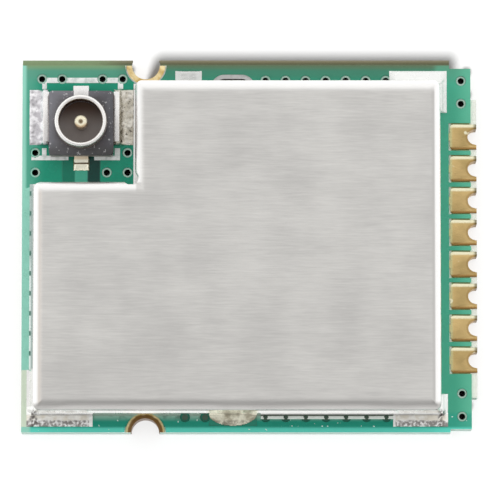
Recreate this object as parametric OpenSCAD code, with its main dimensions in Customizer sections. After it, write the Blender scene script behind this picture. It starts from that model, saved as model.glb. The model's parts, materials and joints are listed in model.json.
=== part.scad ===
// Wireless transceiver module: a castellated circuit board that carries a folded shield can
// over its radio circuit and a miniature coaxial receptacle in the can's notch.
// Millimetres, +Z up, origin at the middle of the board's underside, castellated edge on +X.

/* [Board] */
// Length of the board along X
board_l = 18; // [17:0.1:24]
// Width of the board's faces along Y
board_w = 14.6; // [13.5:0.1:18]
// Thickness of the glass laminate
laminate_t = 0.9; // [0.6:0.05:1.6]
// Thickness of the copper on either face
copper_t = 0.05; // [0.03:0.005:0.08]
// Thickness of the solder mask over the copper
mask_t = 0.03; // [0.02:0.005:0.05]
// Distance that the copper pour keeps from the board's edges
pour_back = 0.22; // [0.15:0.01:0.35]
// Bare strip beside the mask of the castellated edge, which its two corners lack
route_back = 0.23; // [0.1:0.01:0.3]
// Length of those corners along the castellated edge
corner_l = 1.37; // [0.9:0.01:1.4]
// Width of those corners along the long edges
corner_w = 1.07; // [0.95:0.01:1.1]
// How far those corners stand back from the long edges
corner_back = 0.13; // [0.05:0.01:0.14]
// How far the snapped web of the scored back edge stands out
web_out = 0.25; // [0.05:0.01:0.3]
// Depth of the score in either face of the back edge
score_depth = 0.25; // [0.15:0.01:0.28]

/* [Castellated edge] */
// Number of castellated pads
pad_count = 8; // [4:1:8]
// Distance between neighbouring pads
pad_pitch = 1.27; // [1.15:0.01:1.35]
// Length of a pad, inward from the edge
pad_l = 1.05; // [0.8:0.05:1.15]
// Width of a pad
pad_w = 1; // [0.85:0.01:1.05]
// Diameter of the plated half hole in a pad
pad_hole_d = 0.64; // [0.5:0.01:0.7]
// How far that half hole's middle lies inside the edge
pad_hole_in = 0.05; // [0:0.01:0.15]
// Thickness of the plating in every hole
plating_t = 0.03; // [0.02:0.005:0.05]
// Width of the trace that leaves a pad
neck_w = 0.3; // [0.15:0.01:0.5]
// Length of that trace
neck_l = 1.3; // [0.8:0.1:1.6]
// Gap between the pour and other copper
pour_gap = 0.2; // [0.1:0.01:0.3]
// Gap between a pad and the mask round it
mask_gap = 0.05; // [0.02:0.01:0.08]

/* [Edge terminals and vias] */
// Distance of the two edge terminals from the receptacle's middle
terminal_from_coax = 2.55; // [2.52:0.01:3.5]
// Diameter of an edge terminal's half hole
terminal_d = 1.1; // [0.8:0.05:1.2]
// Width of the copper ring round that half hole
terminal_ring = 0.22; // [0.15:0.01:0.24]
// Diameter of a stitching via's hole
via_d = 0.25; // [0.2:0.01:0.3]
// Width of the copper ring round a via
via_ring = 0.075; // [0.05:0.005:0.08]
// Distance between the vias of a row
via_pitch = 0.795; // [0.7:0.005:0.85]
// Distance of a row of vias from the edge beside it
via_from_edge = 0.6; // [0.5:0.01:0.65]

/* [Shield can] */
// Thickness of the folded sheet
sheet_t = 0.2; // [0.12:0.01:0.25]
// Height of the can above its solder seat
shield_h = 1.95; // [1.6:0.05:3]
// Outside radius of the bends round the top
bend_r = 0.42; // [0.3:0.01:0.6]
// Outside radius of the upright corners
corner_r = 0.26; // [0.2:0.01:0.4]
// Distance of the can from the plain end
shield_plain_margin = 0.52; // [0.45:0.01:0.8]
// Distance of the can from the castellated end
shield_pad_margin = 1.48; // [1.35:0.01:2]
// Distance of the can from the front edge
shield_front_margin = 0.75; // [0.7:0.01:1]
// Distance of the can from the back edge
shield_back_margin = 0.82; // [0.7:0.01:1]
// Gap between the receptacle's land and the can's notch
notch_gap = 0.1; // [0.05:0.01:0.3]
// Distance from the receptacle's middle to the notch's front wall
notch_reach = 2.49; // [2.45:0.01:3]
// Diameter of the relief in the notch's inside corner
relief_d = 0.6; // [0.4:0.02:0.7]
// Width of the open seam at an upright corner
seam_w = 0.05; // [0.03:0.01:0.1]
// Width of a leg
leg_w = 0.8; // [0.5:0.05:0.9]
// Distance of the legs' ends from the underside
leg_lift = 0.15; // [0.05:0.05:0.4]
// Length of the plated slot round a leg
slot_l = 1.45; // [1.2:0.05:1.5]
// Width of that slot
slot_w = 0.78; // [0.72:0.01:0.84]
// Width of the copper ring round a slot
slot_ring = 0.09; // [0.06:0.01:0.12]

/* [Solder] */
// Height of the solder above the mask, on which the parts sit
standoff = 0.02; // [0.01:0.005:0.05]
// Width of a solder fillet
fillet_w = 0.24; // [0.1:0.02:0.26]
// Height of a solder fillet on the can
fillet_h = 0.4; // [0.2:0.05:0.6]
// Reach of the shield's land outside the can's wall
land_out = 0.1; // [0.02:0.01:0.12]
// Reach of that land inside the wall
land_in = 0.15; // [0.1:0.01:0.2]

/* [Coaxial receptacle] */
// Distance of the receptacle's middle from the plain end
coax_from_end = 2.34; // [2.32:0.01:2.6]
// Distance of its middle from the back edge
coax_from_back = 2.37; // [2.25:0.01:2.5]
// Length of the moulded base along X
base_l = 2.55; // [2.45:0.01:2.6]
// Width of the moulded base along Y
base_w = 2.56; // [2.5:0.01:2.6]
// Height of the moulded base
base_h = 0.55; // [0.5:0.01:0.65]
// Height of the base's floor inside the ring
floor_h = 0.32; // [0.3:0.01:0.4]
// Outside diameter of the contact ring
ring_d = 2.05; // [1.9:0.01:2.1]
// Wall of the contact ring
ring_wall = 0.16; // [0.12:0.01:0.2]
// Height of the ring above the solder seat
ring_h = 1.25; // [1.15:0.01:1.5]
// Height of the snap groove
groove_h = 0.2; // [0.16:0.01:0.22]
// Depth of the snap groove
groove_depth = 0.05; // [0.03:0.005:0.07]
// Thickness of the contacts' sheet
contact_t = 0.1; // [0.08:0.01:0.12]
// Width of a ground wing outside the base
wing_w = 0.24; // [0.16:0.01:0.3]
// Length of a ground wing along Y
wing_l = 2; // [1.8:0.05:2.1]
// Width of the back tab
tab_w = 0.62; // [0.4:0.02:0.8]
// Reach of the back tab out of the base
tab_out = 0.2; // [0.12:0.01:0.22]
// Diameter of the centre pin
pin_d = 0.52; // [0.4:0.01:0.6]
// Height of the centre pin above the solder seat
pin_h = 0.95; // [0.7:0.01:1.1]
// Width of the signal terminal
terminal_w = 0.56; // [0.4:0.02:0.6]
// Reach of the signal terminal out of the base
terminal_out = 0.25; // [0.2:0.01:0.4]
// Width of a ground land
ground_land_w = 0.77; // [0.6:0.01:0.78]
// Length of a ground land
ground_land_l = 2.2; // [2.1:0.01:2.3]
// How far the ground lands lie behind the receptacle's middle
land_shift = 0.29; // [0.1:0.01:0.3]
// Length of the signal land in front of the base
signal_land_l = 0.48; // [0.4:0.02:0.5]
// Width of the antenna feed line
feed_w = 0.5; // [0.3:0.02:0.56]
// Gap on either side of the feed line
feed_gap = 0.5; // [0.3:0.02:0.55]
// Length of the feed line under the can
feed_in = 1.6; // [1:0.05:1.8]

/* [Radio circuit] */
// Side of the transceiver chip
chip_w = 4; // [3.5:0.1:4.4]
// Height of the transceiver chip
chip_h = 0.85; // [0.5:0.05:1]
// Side of the amplifier chip
amplifier_w = 3; // [2.5:0.1:3.3]
// Height of the amplifier chip
amplifier_h = 0.75; // [0.5:0.05:1]
// Length of the crystal's can
crystal_l = 3.2; // [2.5:0.1:3.4]
// Width of the crystal's can
crystal_w = 2.5; // [2:0.1:2.7]
// Height of the crystal's can
crystal_h = 0.7; // [0.5:0.05:1]
// Length of a chip capacitor, inductor or resistor
passive_l = 1; // [0.8:0.05:1.1]
// Width of a chip capacitor, inductor or resistor
passive_w = 0.5; // [0.4:0.02:0.55]
// Distance of the transceiver's middle from the can's wall over the pads
chip_from_wall = 4.6; // [4.4:0.1:4.8]
// Distance of the amplifier's middle from the can's wall at the plain end
amplifier_from_wall = 5.4; // [5.2:0.1:5.8]

/* [Hidden] */
$fn = 64;

// Overshoot of a cut past the face that it opens
over = 0.1;

// Heights of the layers, from the underside up
z_core = copper_t;
z_face = z_core + laminate_t;
z_foil = z_face + copper_t;
z_mask = z_foil + mask_t;
z_seat = z_mask + standoff;
z_top = z_seat + shield_h;

// Ends and edges of the board, and of the copper pour on it
x_end = board_l / 2;
y_end = board_w / 2;
pour_x = x_end - pour_back;
pour_y = y_end - pour_back;
mask_end = x_end - route_back;
pour_side = 0.15;

// Castellated row
row_half = (pad_count - 1) * pad_pitch / 2;
pad_x = x_end - pad_l;

// Middle of the receptacle, and the lands under it
coax_x = -x_end + coax_from_end;
coax_y = y_end - coax_from_back;
terminal_x = coax_x + terminal_from_coax;
land_clear = 0.015;
land_x = base_l / 2 + land_clear;
land_end = land_x + ground_land_w;
land_y = coax_y + land_shift;
signal_clear = 0.08;
signal_y = coax_y - base_w / 2 - signal_clear;
signal_side = 0.03;
signal_w = terminal_w + 2 * signal_side;
notch_x = coax_x + land_end + notch_gap;
notch_y = coax_y - notch_reach;
feed_end_y = notch_y - feed_in;

// Walls of the can
shield_x0 = -x_end + shield_plain_margin;
shield_x1 = x_end - shield_pad_margin;
shield_y0 = -y_end + shield_front_margin;
shield_y1 = y_end - shield_back_margin;
shield_mid_y = (shield_y0 + shield_y1) / 2;

wall_in = sheet_t + land_in;
frame_in = 0.6;

// Legs, placed from the edge terminals: the wall's side, and how far the slot lies outside the wall
leg_from_terminal = 3.46;
leg_x = terminal_x + leg_from_terminal;
LEGS = [[1, 0], [-1, 0.05]];
front_leg = LEGS[1];
leg_land_w = 1.9;
leg_land_out = 0.5;
leg_mound_h = 0.3;

// Corner lands: side along X, side along Y, and the reach of either arm
CORNER_LANDS = [[1, 1, 1.96, 1.07], [1, -1, 1.84, 0.77], [-1, -1, 2.29, 1.72]];
corner_land_out = 0.31;
back_land_from_terminal = 1.69;
back_land_x = terminal_x + back_land_from_terminal;
back_land_w = 1.03;

// Stitching vias: the back and front rows, the plain end's column, the castellated
// corners, and those that ring the receptacle, which are placed from its middle
via_pad_r = via_d / 2 + via_ring;
via_clear = 0.03;
row_from_leg = 1.29;
row_start = leg_x + row_from_leg;
ROW_STEPS = [for (i = [0:6]) i];
FRONT_STEPS = concat([-4, -3], ROW_STEPS);
COLUMN_STEPS = [for (i = [0:8]) i];
column_from_end = 0.32;
column_below_notch = 0.26;
corner_via_back = 0.61;
corner_via_x = x_end - corner_via_back;
CORNER_VIA_DEPTHS = [0.62, 1.53];
coax_row_step = 0.8;
coax_row_from_back = 0.54;
coax_row_y = coax_from_back - coax_row_from_back;
coax_side_x = land_end - via_pad_r - via_clear;
coax_side_clear = 0.11;
coax_side_y = land_shift - ground_land_l / 2 - via_pad_r - coax_side_clear;
coax_low_from_notch = 0.58;
coax_low_y = coax_low_from_notch - notch_reach;
COAX_VIAS = [
    for (i = [-2, -1, 1, 2]) [i * coax_row_step + via_clear, coax_row_y],
    for (y = [coax_side_y, coax_low_y], s = [-1, 1]) [s * coax_side_x, y],
    [feed_w / 2 + feed_gap + via_pad_r + 2 * via_clear, coax_low_y]
];
VIAS = concat(
    [for (i = ROW_STEPS) [row_start + i * via_pitch, y_end - via_from_edge]],
    [for (i = FRONT_STEPS) [row_start + i * via_pitch, -y_end + via_from_edge]],
    [for (i = COLUMN_STEPS) [-x_end + column_from_end, notch_y - column_below_notch - i * via_pitch]],
    [for (s = [-1, 1], d = CORNER_VIA_DEPTHS) [corner_via_x, s * (y_end - d)]],
    [for (v = COAX_VIAS) [coax_x + v[0], coax_y + v[1]]]
);

// Radio circuit under the can
chip_x = shield_x1 - sheet_t - chip_from_wall;
chip_y = shield_mid_y;
amplifier_x = shield_x0 + sheet_t + amplifier_from_wall;
amplifier_drop = 1;
amplifier_y = shield_mid_y - amplifier_drop;
part_gap = 0.35;
beside_chip = chip_w / 2 + part_gap + passive_w / 2;
beside_amplifier = amplifier_w / 2 + part_gap + passive_w / 2;
crystal_shift = 0.4;
crystal_x = chip_x + crystal_shift;
crystal_y = chip_y + beside_chip + passive_w / 2 + part_gap + crystal_w / 2;
passive_h = 0.5;
resistor_h = 0.35;
end_cap = 0.22;
land_reach = 0.2;
land_lap = 0.05;
chip_step = 1.5;
chip_column_step = 1.2;
amplifier_step = 0.85;
resistor_step = 1.6;
tall = 90;
flat = 0;

// Places of the small chip parts: X, Y and the turn about Z
CAPACITORS = [
    for (i = [-1:1]) [chip_x + beside_chip, chip_y + i * chip_step, tall],
    for (i = [-1:1]) [chip_x + i * chip_step, chip_y - beside_chip, flat],
    for (s = [-1, 1]) [chip_x - beside_chip, chip_y + s * chip_column_step, tall],
    for (s = [-1, 1]) [crystal_x + s * (crystal_l / 2 + part_gap + passive_w / 2), crystal_y, tall],
    for (s = [-1, 1]) [amplifier_x + s * amplifier_step, amplifier_y - beside_amplifier, flat]
];
INDUCTORS = [
    [coax_x, feed_end_y - passive_l / 2 - land_reach, tall],
    [amplifier_x - amplifier_w / 2 - part_gap - passive_l / 2 - land_reach, amplifier_y, flat],
    for (s = [-1, 1]) [amplifier_x + s * amplifier_step, amplifier_y + beside_amplifier, flat]
];
RESISTORS = [for (i = [-1:1]) [chip_x + i * resistor_step, chip_y + beside_chip, flat]];
PASSIVES = concat(CAPACITORS, INDUCTORS, RESISTORS);

// Pads of the two chips: count along a side, pitch, length and width
chip_side_pads = 5;
chip_pad_pitch = 0.5;
amplifier_side_pads = 4;
amplifier_pad_pitch = 0.5;
chip_pad_l = 0.5;
chip_pad_w = 0.26;
heat_pad_share = 0.6;
crystal_pad_l = 0.96;
crystal_pad_w = 0.85;
crystal_pad_back = 0.1;

// Plan shapes

// A rectangle between two corners
module area(x0, x1, y0, y1) {
    translate([x0, y0]) square([x1 - x0, y1 - y0]);
}

// A rectangle with round ends, centred
module stadium(l, w) {
    square([l - w, w], center = true);
    for (s = [-1, 1]) translate([s * (l - w) / 2, 0]) circle(d = w);
}

// A rectangle with round corners between two corners
module rounded_area(x0, x1, y0, y1, r) {
    area(x0 + r, x1 - r, y0, y1);
    area(x0, x1, y0 + r, y1 - r);
    for (x = [x0 + r, x1 - r], y = [y0 + r, y1 - r]) translate([x, y]) circle(r = r);
}

// A plan shape as a layer between two heights
module layer(z0, z1) {
    translate([0, 0, z0]) linear_extrude(z1 - z0) children();
}

// Discs at every via
module via_discs(r) {
    for (v = VIAS) translate(v) circle(r = r);
}

// A leg's slot, and both of them
module slot(leg, grow) {
    translate([leg_x, slot_middle(leg)]) stadium(slot_l + 2 * grow, slot_w + 2 * grow);
}

module slots(grow) {
    for (leg = LEGS) slot(leg, grow);
}

function wall_middle(side) = side > 0 ? shield_y1 - sheet_t / 2 : shield_y0 + sheet_t / 2;
function slot_middle(leg) = wall_middle(leg[0]) + leg[0] * leg[1];
function pad_y(n) = row_half - (n - 1) * pad_pitch;

// Half discs of the edge terminals
module terminal_discs(r) {
    for (s = [-1, 1]) translate([terminal_x, s * y_end]) circle(r = r);
}

// The row of castellated pads with their traces, grown by a gap
module pad_areas(gap, traces) {
    for (n = [1:pad_count]) {
        area(pad_x - gap, x_end + over, pad_y(n) - pad_w / 2 - gap, pad_y(n) + pad_w / 2 + gap);
        if (traces)
            area(pad_x - neck_l - gap, x_end, pad_y(n) - neck_w / 2 - gap, pad_y(n) + neck_w / 2 + gap);
    }
}

// Hole of a castellated pad, placed from the board's edge and grown by a gap
module pad_hole(gap) {
    translate([-pad_hole_in, 0]) circle(r = pad_hole_d / 2 + gap);
}

// Strip of land under a run of wall, from outside the wall to inside it
module land_strips() {
    area(shield_x0 - land_out, shield_x0 + wall_in, shield_y0, notch_y + land_out);
    area(shield_x0, notch_x + wall_in, notch_y - wall_in, notch_y + land_out);
    area(notch_x - notch_gap, notch_x + wall_in, notch_y - wall_in, shield_y1 + land_out);
    area(notch_x, shield_x1, shield_y1 - wall_in, shield_y1 + land_out);
    area(shield_x0, shield_x1, shield_y0 - land_out, shield_y0 + wall_in);
}

// Angled land at one corner of the can, out to the edge of the pour
module corner_land(c) {
    x = c[0] > 0 ? shield_x1 : shield_x0;
    y = c[1] > 0 ? shield_y1 : shield_y0;
    x_out = c[0] > 0 ? x + corner_land_out : -pour_x;
    y_out = c[1] * pour_y;
    x_in = x - c[0] * c[2];
    y_in = y - c[1] * c[3];
    x_wall = x - c[0] * wall_in;
    y_wall = y - c[1] * wall_in;
    area(min(x_in, x_out), max(x_in, x_out), min(y_wall, y_out), max(y_wall, y_out));
    area(min(x_wall, x_out), max(x_wall, x_out), min(y_in, y_out), max(y_in, y_out));
}

// All the land that the can is soldered to
module shield_land() {
    difference() {
        union() {
            land_strips();
            for (c = CORNER_LANDS) corner_land(c);
            area(back_land_x - back_land_w / 2, back_land_x + back_land_w / 2,
                shield_y1 - sheet_t, pour_y);
            area(leg_x - leg_land_w / 2, leg_x + leg_land_w / 2,
                shield_y0 - leg_land_out, shield_y0 + sheet_t);
        }
        feed_corridor();
    }
}

// Clear way for the feed line through the pour and the can's land
module feed_corridor() {
    area(coax_x - feed_w / 2 - feed_gap, coax_x + feed_w / 2 + feed_gap,
        feed_end_y - pour_gap, signal_y + pour_gap);
}

// The two ground lands of the receptacle
module ground_lands() {
    for (s = [-1, 1]) translate([coax_x + s * (land_x + ground_land_w / 2), land_y])
        square([ground_land_w, ground_land_l], center = true);
}

// The receptacle's signal land
module signal_land() {
    area(coax_x - signal_w / 2, coax_x + signal_w / 2, signal_y - signal_land_l, signal_y);
}

// Areas of the parts under the can, grown by a gap
module part_areas(gap) {
    translate([chip_x, chip_y]) square(chip_w + 2 * gap, center = true);
    translate([amplifier_x, amplifier_y]) square(amplifier_w + 2 * gap, center = true);
    translate([crystal_x, crystal_y]) square([crystal_l + 2 * gap, crystal_w + 2 * gap], center = true);
    for (p = PASSIVES) translate([p[0], p[1]]) rotate(p[2])
        square([passive_l + 2 * (land_reach + gap), passive_w + 2 * gap], center = true);
}

// Field of the radio circuit under the can, inside a frame of ground copper
module circuit_field() {
    inside = wall_in + frame_in;
    area(notch_x + inside, shield_x1 - inside, shield_y0 + inside, shield_y1 - inside);
    area(shield_x0 + inside, shield_x1 - inside, shield_y0 + inside, notch_y - inside);
}

// Copper pour round the board, cleared for all other copper
module pour() {
    row_end = row_half + pad_w / 2 + pour_gap;
    difference() {
        area(-pour_x, mask_end - pour_side, -pour_y, pour_y);
        area(pad_x - neck_l - pour_gap, x_end, -row_end, row_end);
        circuit_field();
        feed_corridor();
        part_areas(pour_gap);
        via_discs(via_pad_r);
        terminal_discs(terminal_d / 2 + terminal_ring);
        slots(plating_t + slot_ring);
    }
}

// Mask openings that go through both masks
module open_holes() {
    via_discs(via_pad_r);
    terminal_discs(terminal_d / 2 + terminal_ring + mask_gap);
    slots(plating_t + slot_ring + mask_gap);
    pad_areas(mask_gap, false);
}

// Strip that was routed off a long edge beside the castellated edge
module corner_strip(side) {
    y = side * y_end;
    y_in = y - side * corner_back;
    y_out = y + side * (web_out + over);
    area(x_end - corner_w, x_end + over, min(y_in, y_out), max(y_in, y_out));
}

// Strip that was routed off the castellated edge beside a long edge
module corner_end(side) {
    y_in = side * (y_end - corner_l);
    y_out = side * (y_end + web_out + over);
    area(mask_end, x_end + over, min(y_in, y_out), max(y_in, y_out));
}

// Outline of either mask, short of the routed edge
module mask_outline() {
    difference() {
        area(-x_end, mask_end, -y_end, y_end);
        for (s = [-1, 1]) corner_strip(s);
    }
}

// Board

// Glass laminate with a scored and snapped back edge and the drilled holes
module board_laminate() {
    color([0.72, 0.71, 0.58]) difference() {
        rotate([90, 0, 90]) translate([0, 0, -x_end]) linear_extrude(board_l) polygon([
            [-y_end, z_core], [y_end, z_core], [y_end + web_out, z_core + score_depth],
            [y_end + web_out, z_face - score_depth], [y_end, z_face], [-y_end, z_face]
        ]);
        layer(z_core - over, z_face + over) {
            via_discs(via_d / 2 + plating_t);
            terminal_discs(terminal_d / 2 + plating_t);
            slots(plating_t);
            for (n = [1:pad_count]) translate([x_end, pad_y(n)]) pad_hole(plating_t);
            for (s = [-1, 1]) {
                corner_end(s);
                corner_strip(s);
            }
        }
    }
}

// Green mask on the top: it fills the gaps between the copper and covers the pour
module solder_mask_top() {
    color([0.16, 0.53, 0.43]) {
        layer(z_face, z_foil) difference() {
            mask_outline();
            open_holes();
            pour();
            shield_land();
            ground_lands();
            part_areas(0);
            feed_copper();
            pad_areas(0, true);
        }
        layer(z_foil, z_mask) difference() {
            mask_outline();
            open_holes();
            shield_land();
            ground_lands();
            signal_land();
            part_areas(0);
        }
    }
}

// Green mask on the underside, level with the pads
module solder_mask_underside() {
    color([0.12, 0.45, 0.36]) layer(0, z_core) difference() {
        mask_outline();
        open_holes();
    }
}

// Ground copper of the top face, one etched sheet that also makes the lands
module ground_foil() {
    color([0.78, 0.77, 0.74]) layer(z_face, z_foil) pour();
}

// Signal land and feed line from the receptacle to the radio circuit
module feed_copper() {
    signal_land();
    area(coax_x - feed_w / 2, coax_x + feed_w / 2, feed_end_y, signal_y);
}

module feed_line() {
    color([0.82, 0.72, 0.5]) layer(z_face, z_foil) feed_copper();
}

// One pad of the castellated edge: both faces joined by half a plated hole
module castellated_pad(n) {
    color([0.8, 0.66, 0.42]) translate([x_end, pad_y(n), 0]) difference() {
        union() {
            for (z = [0, z_face]) layer(z, z + copper_t) area(-pad_l, 0, -pad_w / 2, pad_w / 2);
            layer(z_face, z_foil) area(-pad_l - neck_l, -pad_l, -neck_w / 2, neck_w / 2);
            layer(z_core, z_face) intersection() {
                pad_hole(plating_t);
                area(-pad_l, 0, -pad_w / 2, pad_w / 2);
            }
        }
        layer(-over, z_foil + over) pad_hole(0);
    }
}

// Plated half hole in a long edge, with a half ring on both faces
module edge_terminal(side) {
    reach = terminal_d / 2 + terminal_ring;
    color([0.8, 0.66, 0.42]) translate([terminal_x, side * y_end, 0]) difference() {
        intersection() {
            union() {
                for (z = [0, z_face]) layer(z, z + copper_t) circle(r = reach);
                layer(z_core, z_face) circle(d = terminal_d + 2 * plating_t);
            }
            layer(0, z_foil) area(-reach, reach, side > 0 ? -reach : 0, side > 0 ? 0 : reach);
        }
        layer(-over, z_foil + over) circle(d = terminal_d);
    }
}

// Plated holes that stitch the ground of both faces together
module stitching_vias() {
    color([0.75, 0.78, 0.72]) for (v = VIAS) translate(v) rotate_extrude() polygon([
        [via_d / 2, 0], [via_pad_r, 0], [via_pad_r, z_core], [via_d / 2 + plating_t, z_core],
        [via_d / 2 + plating_t, z_face], [via_pad_r, z_face], [via_pad_r, z_foil], [via_d / 2, z_foil]
    ]);
}

// Plated slots that take the can's legs
module leg_slot_plating() {
    color([0.78, 0.74, 0.62]) for (leg = LEGS) translate([leg_x, slot_middle(leg), 0]) difference() {
        union() {
            for (z = [0, z_face]) layer(z, z + copper_t)
                stadium(slot_l + 2 * (plating_t + slot_ring), slot_w + 2 * (plating_t + slot_ring));
            layer(z_core, z_face) stadium(slot_l + 2 * plating_t, slot_w + 2 * plating_t);
        }
        layer(-over, z_foil + over) stadium(slot_l, slot_w);
    }
}

// Radio circuit

// Lands along the four sides of a chip and under its middle
module chip_lands(side, count, pitch) {
    for (turn = [0:90:270], i = [0:count - 1]) rotate(turn)
        translate([side / 2 - chip_pad_l / 2, (i - (count - 1) / 2) * pitch])
            square([chip_pad_l, chip_pad_w], center = true);
    square(side * heat_pad_share, center = true);
}

// Copper lands with their reflowed solder, under every part of the circuit
module component_lands() {
    color([0.75, 0.75, 0.74]) layer(z_face, z_seat) {
        translate([chip_x, chip_y]) chip_lands(chip_w, chip_side_pads, chip_pad_pitch);
        translate([amplifier_x, amplifier_y])
            chip_lands(amplifier_w, amplifier_side_pads, amplifier_pad_pitch);
        for (sx = [-1, 1], sy = [-1, 1])
            translate([crystal_x + sx * (crystal_l / 2 - crystal_pad_back - crystal_pad_l / 2),
                crystal_y + sy * (crystal_w / 2 - crystal_pad_back - crystal_pad_w / 2)])
                square([crystal_pad_l, crystal_pad_w], center = true);
        for (p = PASSIVES, s = [-1, 1]) translate([p[0], p[1]]) rotate(p[2])
            translate([s * (passive_l / 2 - land_lap), 0])
                square([2 * (land_reach + land_lap), passive_w], center = true);
    }
}

// Moulded leadless chip with a dimple that marks its first pad
module leadless_chip(side, h) {
    mark_d = 0.4;
    mark_depth = 0.03;
    mark_in = 0.72;
    mark_at = side / 2 - mark_in;
    difference() {
        translate([-side / 2, -side / 2, z_seat]) cube([side, side, h]);
        translate([mark_at, mark_at, z_seat + h - mark_depth]) cylinder(d = mark_d, h = over);
    }
}

module transceiver_chip() {
    color([0.12, 0.12, 0.13]) translate([chip_x, chip_y, 0]) leadless_chip(chip_w, chip_h);
}

module amplifier_chip() {
    color([0.14, 0.14, 0.15]) translate([amplifier_x, amplifier_y, 0])
        leadless_chip(amplifier_w, amplifier_h);
}

// Ceramic package of the crystal with a seam-welded metal lid
module crystal() {
    lid_h = 0.12;
    lid_back = 0.15;
    color([0.8, 0.79, 0.74]) translate([crystal_x, crystal_y, 0]) {
        layer(z_seat, z_seat + crystal_h - lid_h) square([crystal_l, crystal_w], center = true);
        layer(z_seat + crystal_h - lid_h, z_seat + crystal_h)
            square([crystal_l - 2 * lid_back, crystal_w - 2 * lid_back], center = true);
    }
}

// Small chip part: a body between two end caps that stand a little proud
module chip_part(h) {
    proud = 0.02;
    layer(z_seat, z_seat + h) for (s = [-1, 1])
        translate([s * (passive_l - end_cap) / 2, 0]) square([end_cap, passive_w], center = true);
    layer(z_seat, z_seat + h - proud) square([passive_l - end_cap, passive_w - 2 * proud], center = true);
}

module chip_parts(places, h) {
    for (p = places) translate([p[0], p[1], 0]) rotate(p[2]) chip_part(h);
}

module capacitors() {
    color([0.7, 0.6, 0.48]) chip_parts(CAPACITORS, passive_h);
}

module inductors() {
    color([0.85, 0.86, 0.88]) chip_parts(INDUCTORS, passive_h);
}

module resistors() {
    color([0.2, 0.2, 0.22]) chip_parts(RESISTORS, resistor_h);
}

// Shield can

// Block with bends along its four top edges and round upright corners
module bent_block(x0, x1, y0, y1, z0, z1, r, corner) {
    intersection() {
        layer(z0, z1) rounded_area(x0, x1, y0, y1, corner);
        rotate([90, 0, 0]) translate([0, 0, -y1 - over]) linear_extrude(y1 - y0 + 2 * over)
            rounded_area(x0, x1, z0 - 2 * r, z1, r);
        rotate([90, 0, 90]) translate([0, 0, x0 - over]) linear_extrude(x1 - x0 + 2 * over)
            rounded_area(y0, y1, z0 - 2 * r, z1, r);
    }
}

// Notched block of the can, drawn in from its outside faces
module can_block(inset, z0, z1) {
    r = bend_r - inset;
    corner = corner_r - inset;
    bent_block(notch_x + inset, shield_x1 - inset, shield_y0 + inset, shield_y1 - inset, z0, z1, r, corner);
    bent_block(shield_x0 + inset, shield_x1 - inset, shield_y0 + inset, notch_y - inset, z0, z1, r, corner);
}

// Open seam at each outside corner, where two folded walls meet
module corner_seams() {
    reach = 2 * corner_r;
    mitre = 45;
    corners = [
        [shield_x0, shield_y0, 1], [shield_x1, shield_y0, -1], [shield_x1, shield_y1, 1],
        [notch_x, shield_y1, -1], [shield_x0, notch_y, -1]
    ];
    for (c = corners) translate([c[0], c[1], 0]) rotate(c[2] * mitre)
        layer(z_seat - over, z_top - bend_r) square([2 * reach, seam_w], center = true);
}

// Section of a leg, in line with the wall that it was cut from
module leg_section(leg) {
    translate([leg_x, wall_middle(leg[0])]) square([leg_w, sheet_t], center = true);
}

// Folded sheet can with its seams, the notch's corner relief and two legs
module shield_can() {
    color([0.78, 0.78, 0.77]) {
        difference() {
            can_block(0, z_seat, z_top);
            can_block(sheet_t, z_seat - over, z_top - sheet_t);
            corner_seams();
            translate([notch_x - relief_d / 4, notch_y + relief_d / 4, z_seat - over])
                cylinder(d = relief_d, h = z_top);
        }
        for (leg = LEGS) layer(leg_lift, z_seat) leg_section(leg);
    }
}

// Solder fillet along X or Y: a wedge against a wall, on top of the solder film
module fillet_along_x(x0, x1, y, side, w, h) {
    translate([x0, y, z_seat]) rotate([90, 0, 90]) linear_extrude(x1 - x0)
        polygon([[0, 0], [side * w, 0], [0, h]]);
}

module fillet_along_y(y0, y1, x, side, w, h) {
    translate([x, y1, z_seat]) rotate([90, 0, 0]) linear_extrude(y1 - y0)
        polygon([[0, 0], [side * w, 0], [0, h]]);
}

// Solder that fills the front leg's slot, with a mound outside the wall
module leg_solder() {
    difference() {
        union() {
            layer(leg_lift, z_foil) slot(front_leg, 0);
            layer(z_foil, z_seat) slot(front_leg, plating_t);
        }
        layer(leg_lift - over, z_seat + over) leg_section(front_leg);
    }
    fillet_along_x(leg_x - leg_land_w / 2, leg_x + leg_land_w / 2, shield_y0, front_leg[0],
        leg_land_out, leg_mound_h);
}

// Solder between the land and the can, with fillets up the walls at the corners
module shield_solder() {
    color([0.72, 0.72, 0.72]) {
        layer(z_foil, z_seat) difference() {
            shield_land();
            via_discs(via_pad_r);
            slots(plating_t);
            terminal_discs(terminal_d / 2);
        }
        for (c = CORNER_LANDS) {
            x = c[0] > 0 ? shield_x1 : shield_x0;
            y = c[1] > 0 ? shield_y1 : shield_y0;
            x_far = x - c[0] * c[2];
            x_near = x - c[0] * corner_r;
            y_far = y - c[1] * c[3];
            y_near = y - c[1] * corner_r;
            fillet_along_x(min(x_far, x_near), max(x_far, x_near), y, c[1], fillet_w, fillet_h);
            fillet_along_y(min(y_far, y_near), max(y_far, y_near), x, c[0], fillet_w, fillet_h);
        }
        leg_solder();
    }
}

// Coaxial receptacle

// Solder on the receptacle's lands, with a fillet outside either wing
module connector_solder() {
    color([0.75, 0.75, 0.75]) {
        layer(z_foil, z_seat) {
            difference() {
                ground_lands();
                via_discs(via_pad_r);
            }
            signal_land();
        }
        for (s = [-1, 1])
            fillet_along_y(land_y - wing_l / 2, land_y + wing_l / 2,
                coax_x + s * (base_l / 2 + wing_w), s, fillet_w, strap_top);
    }
}

// Heights in the receptacle above its solder seat
strap_lift = 0.07;
strap_z = contact_t + strap_lift;
strap_top = strap_z + contact_t;
strap_w = 1.2;

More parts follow.
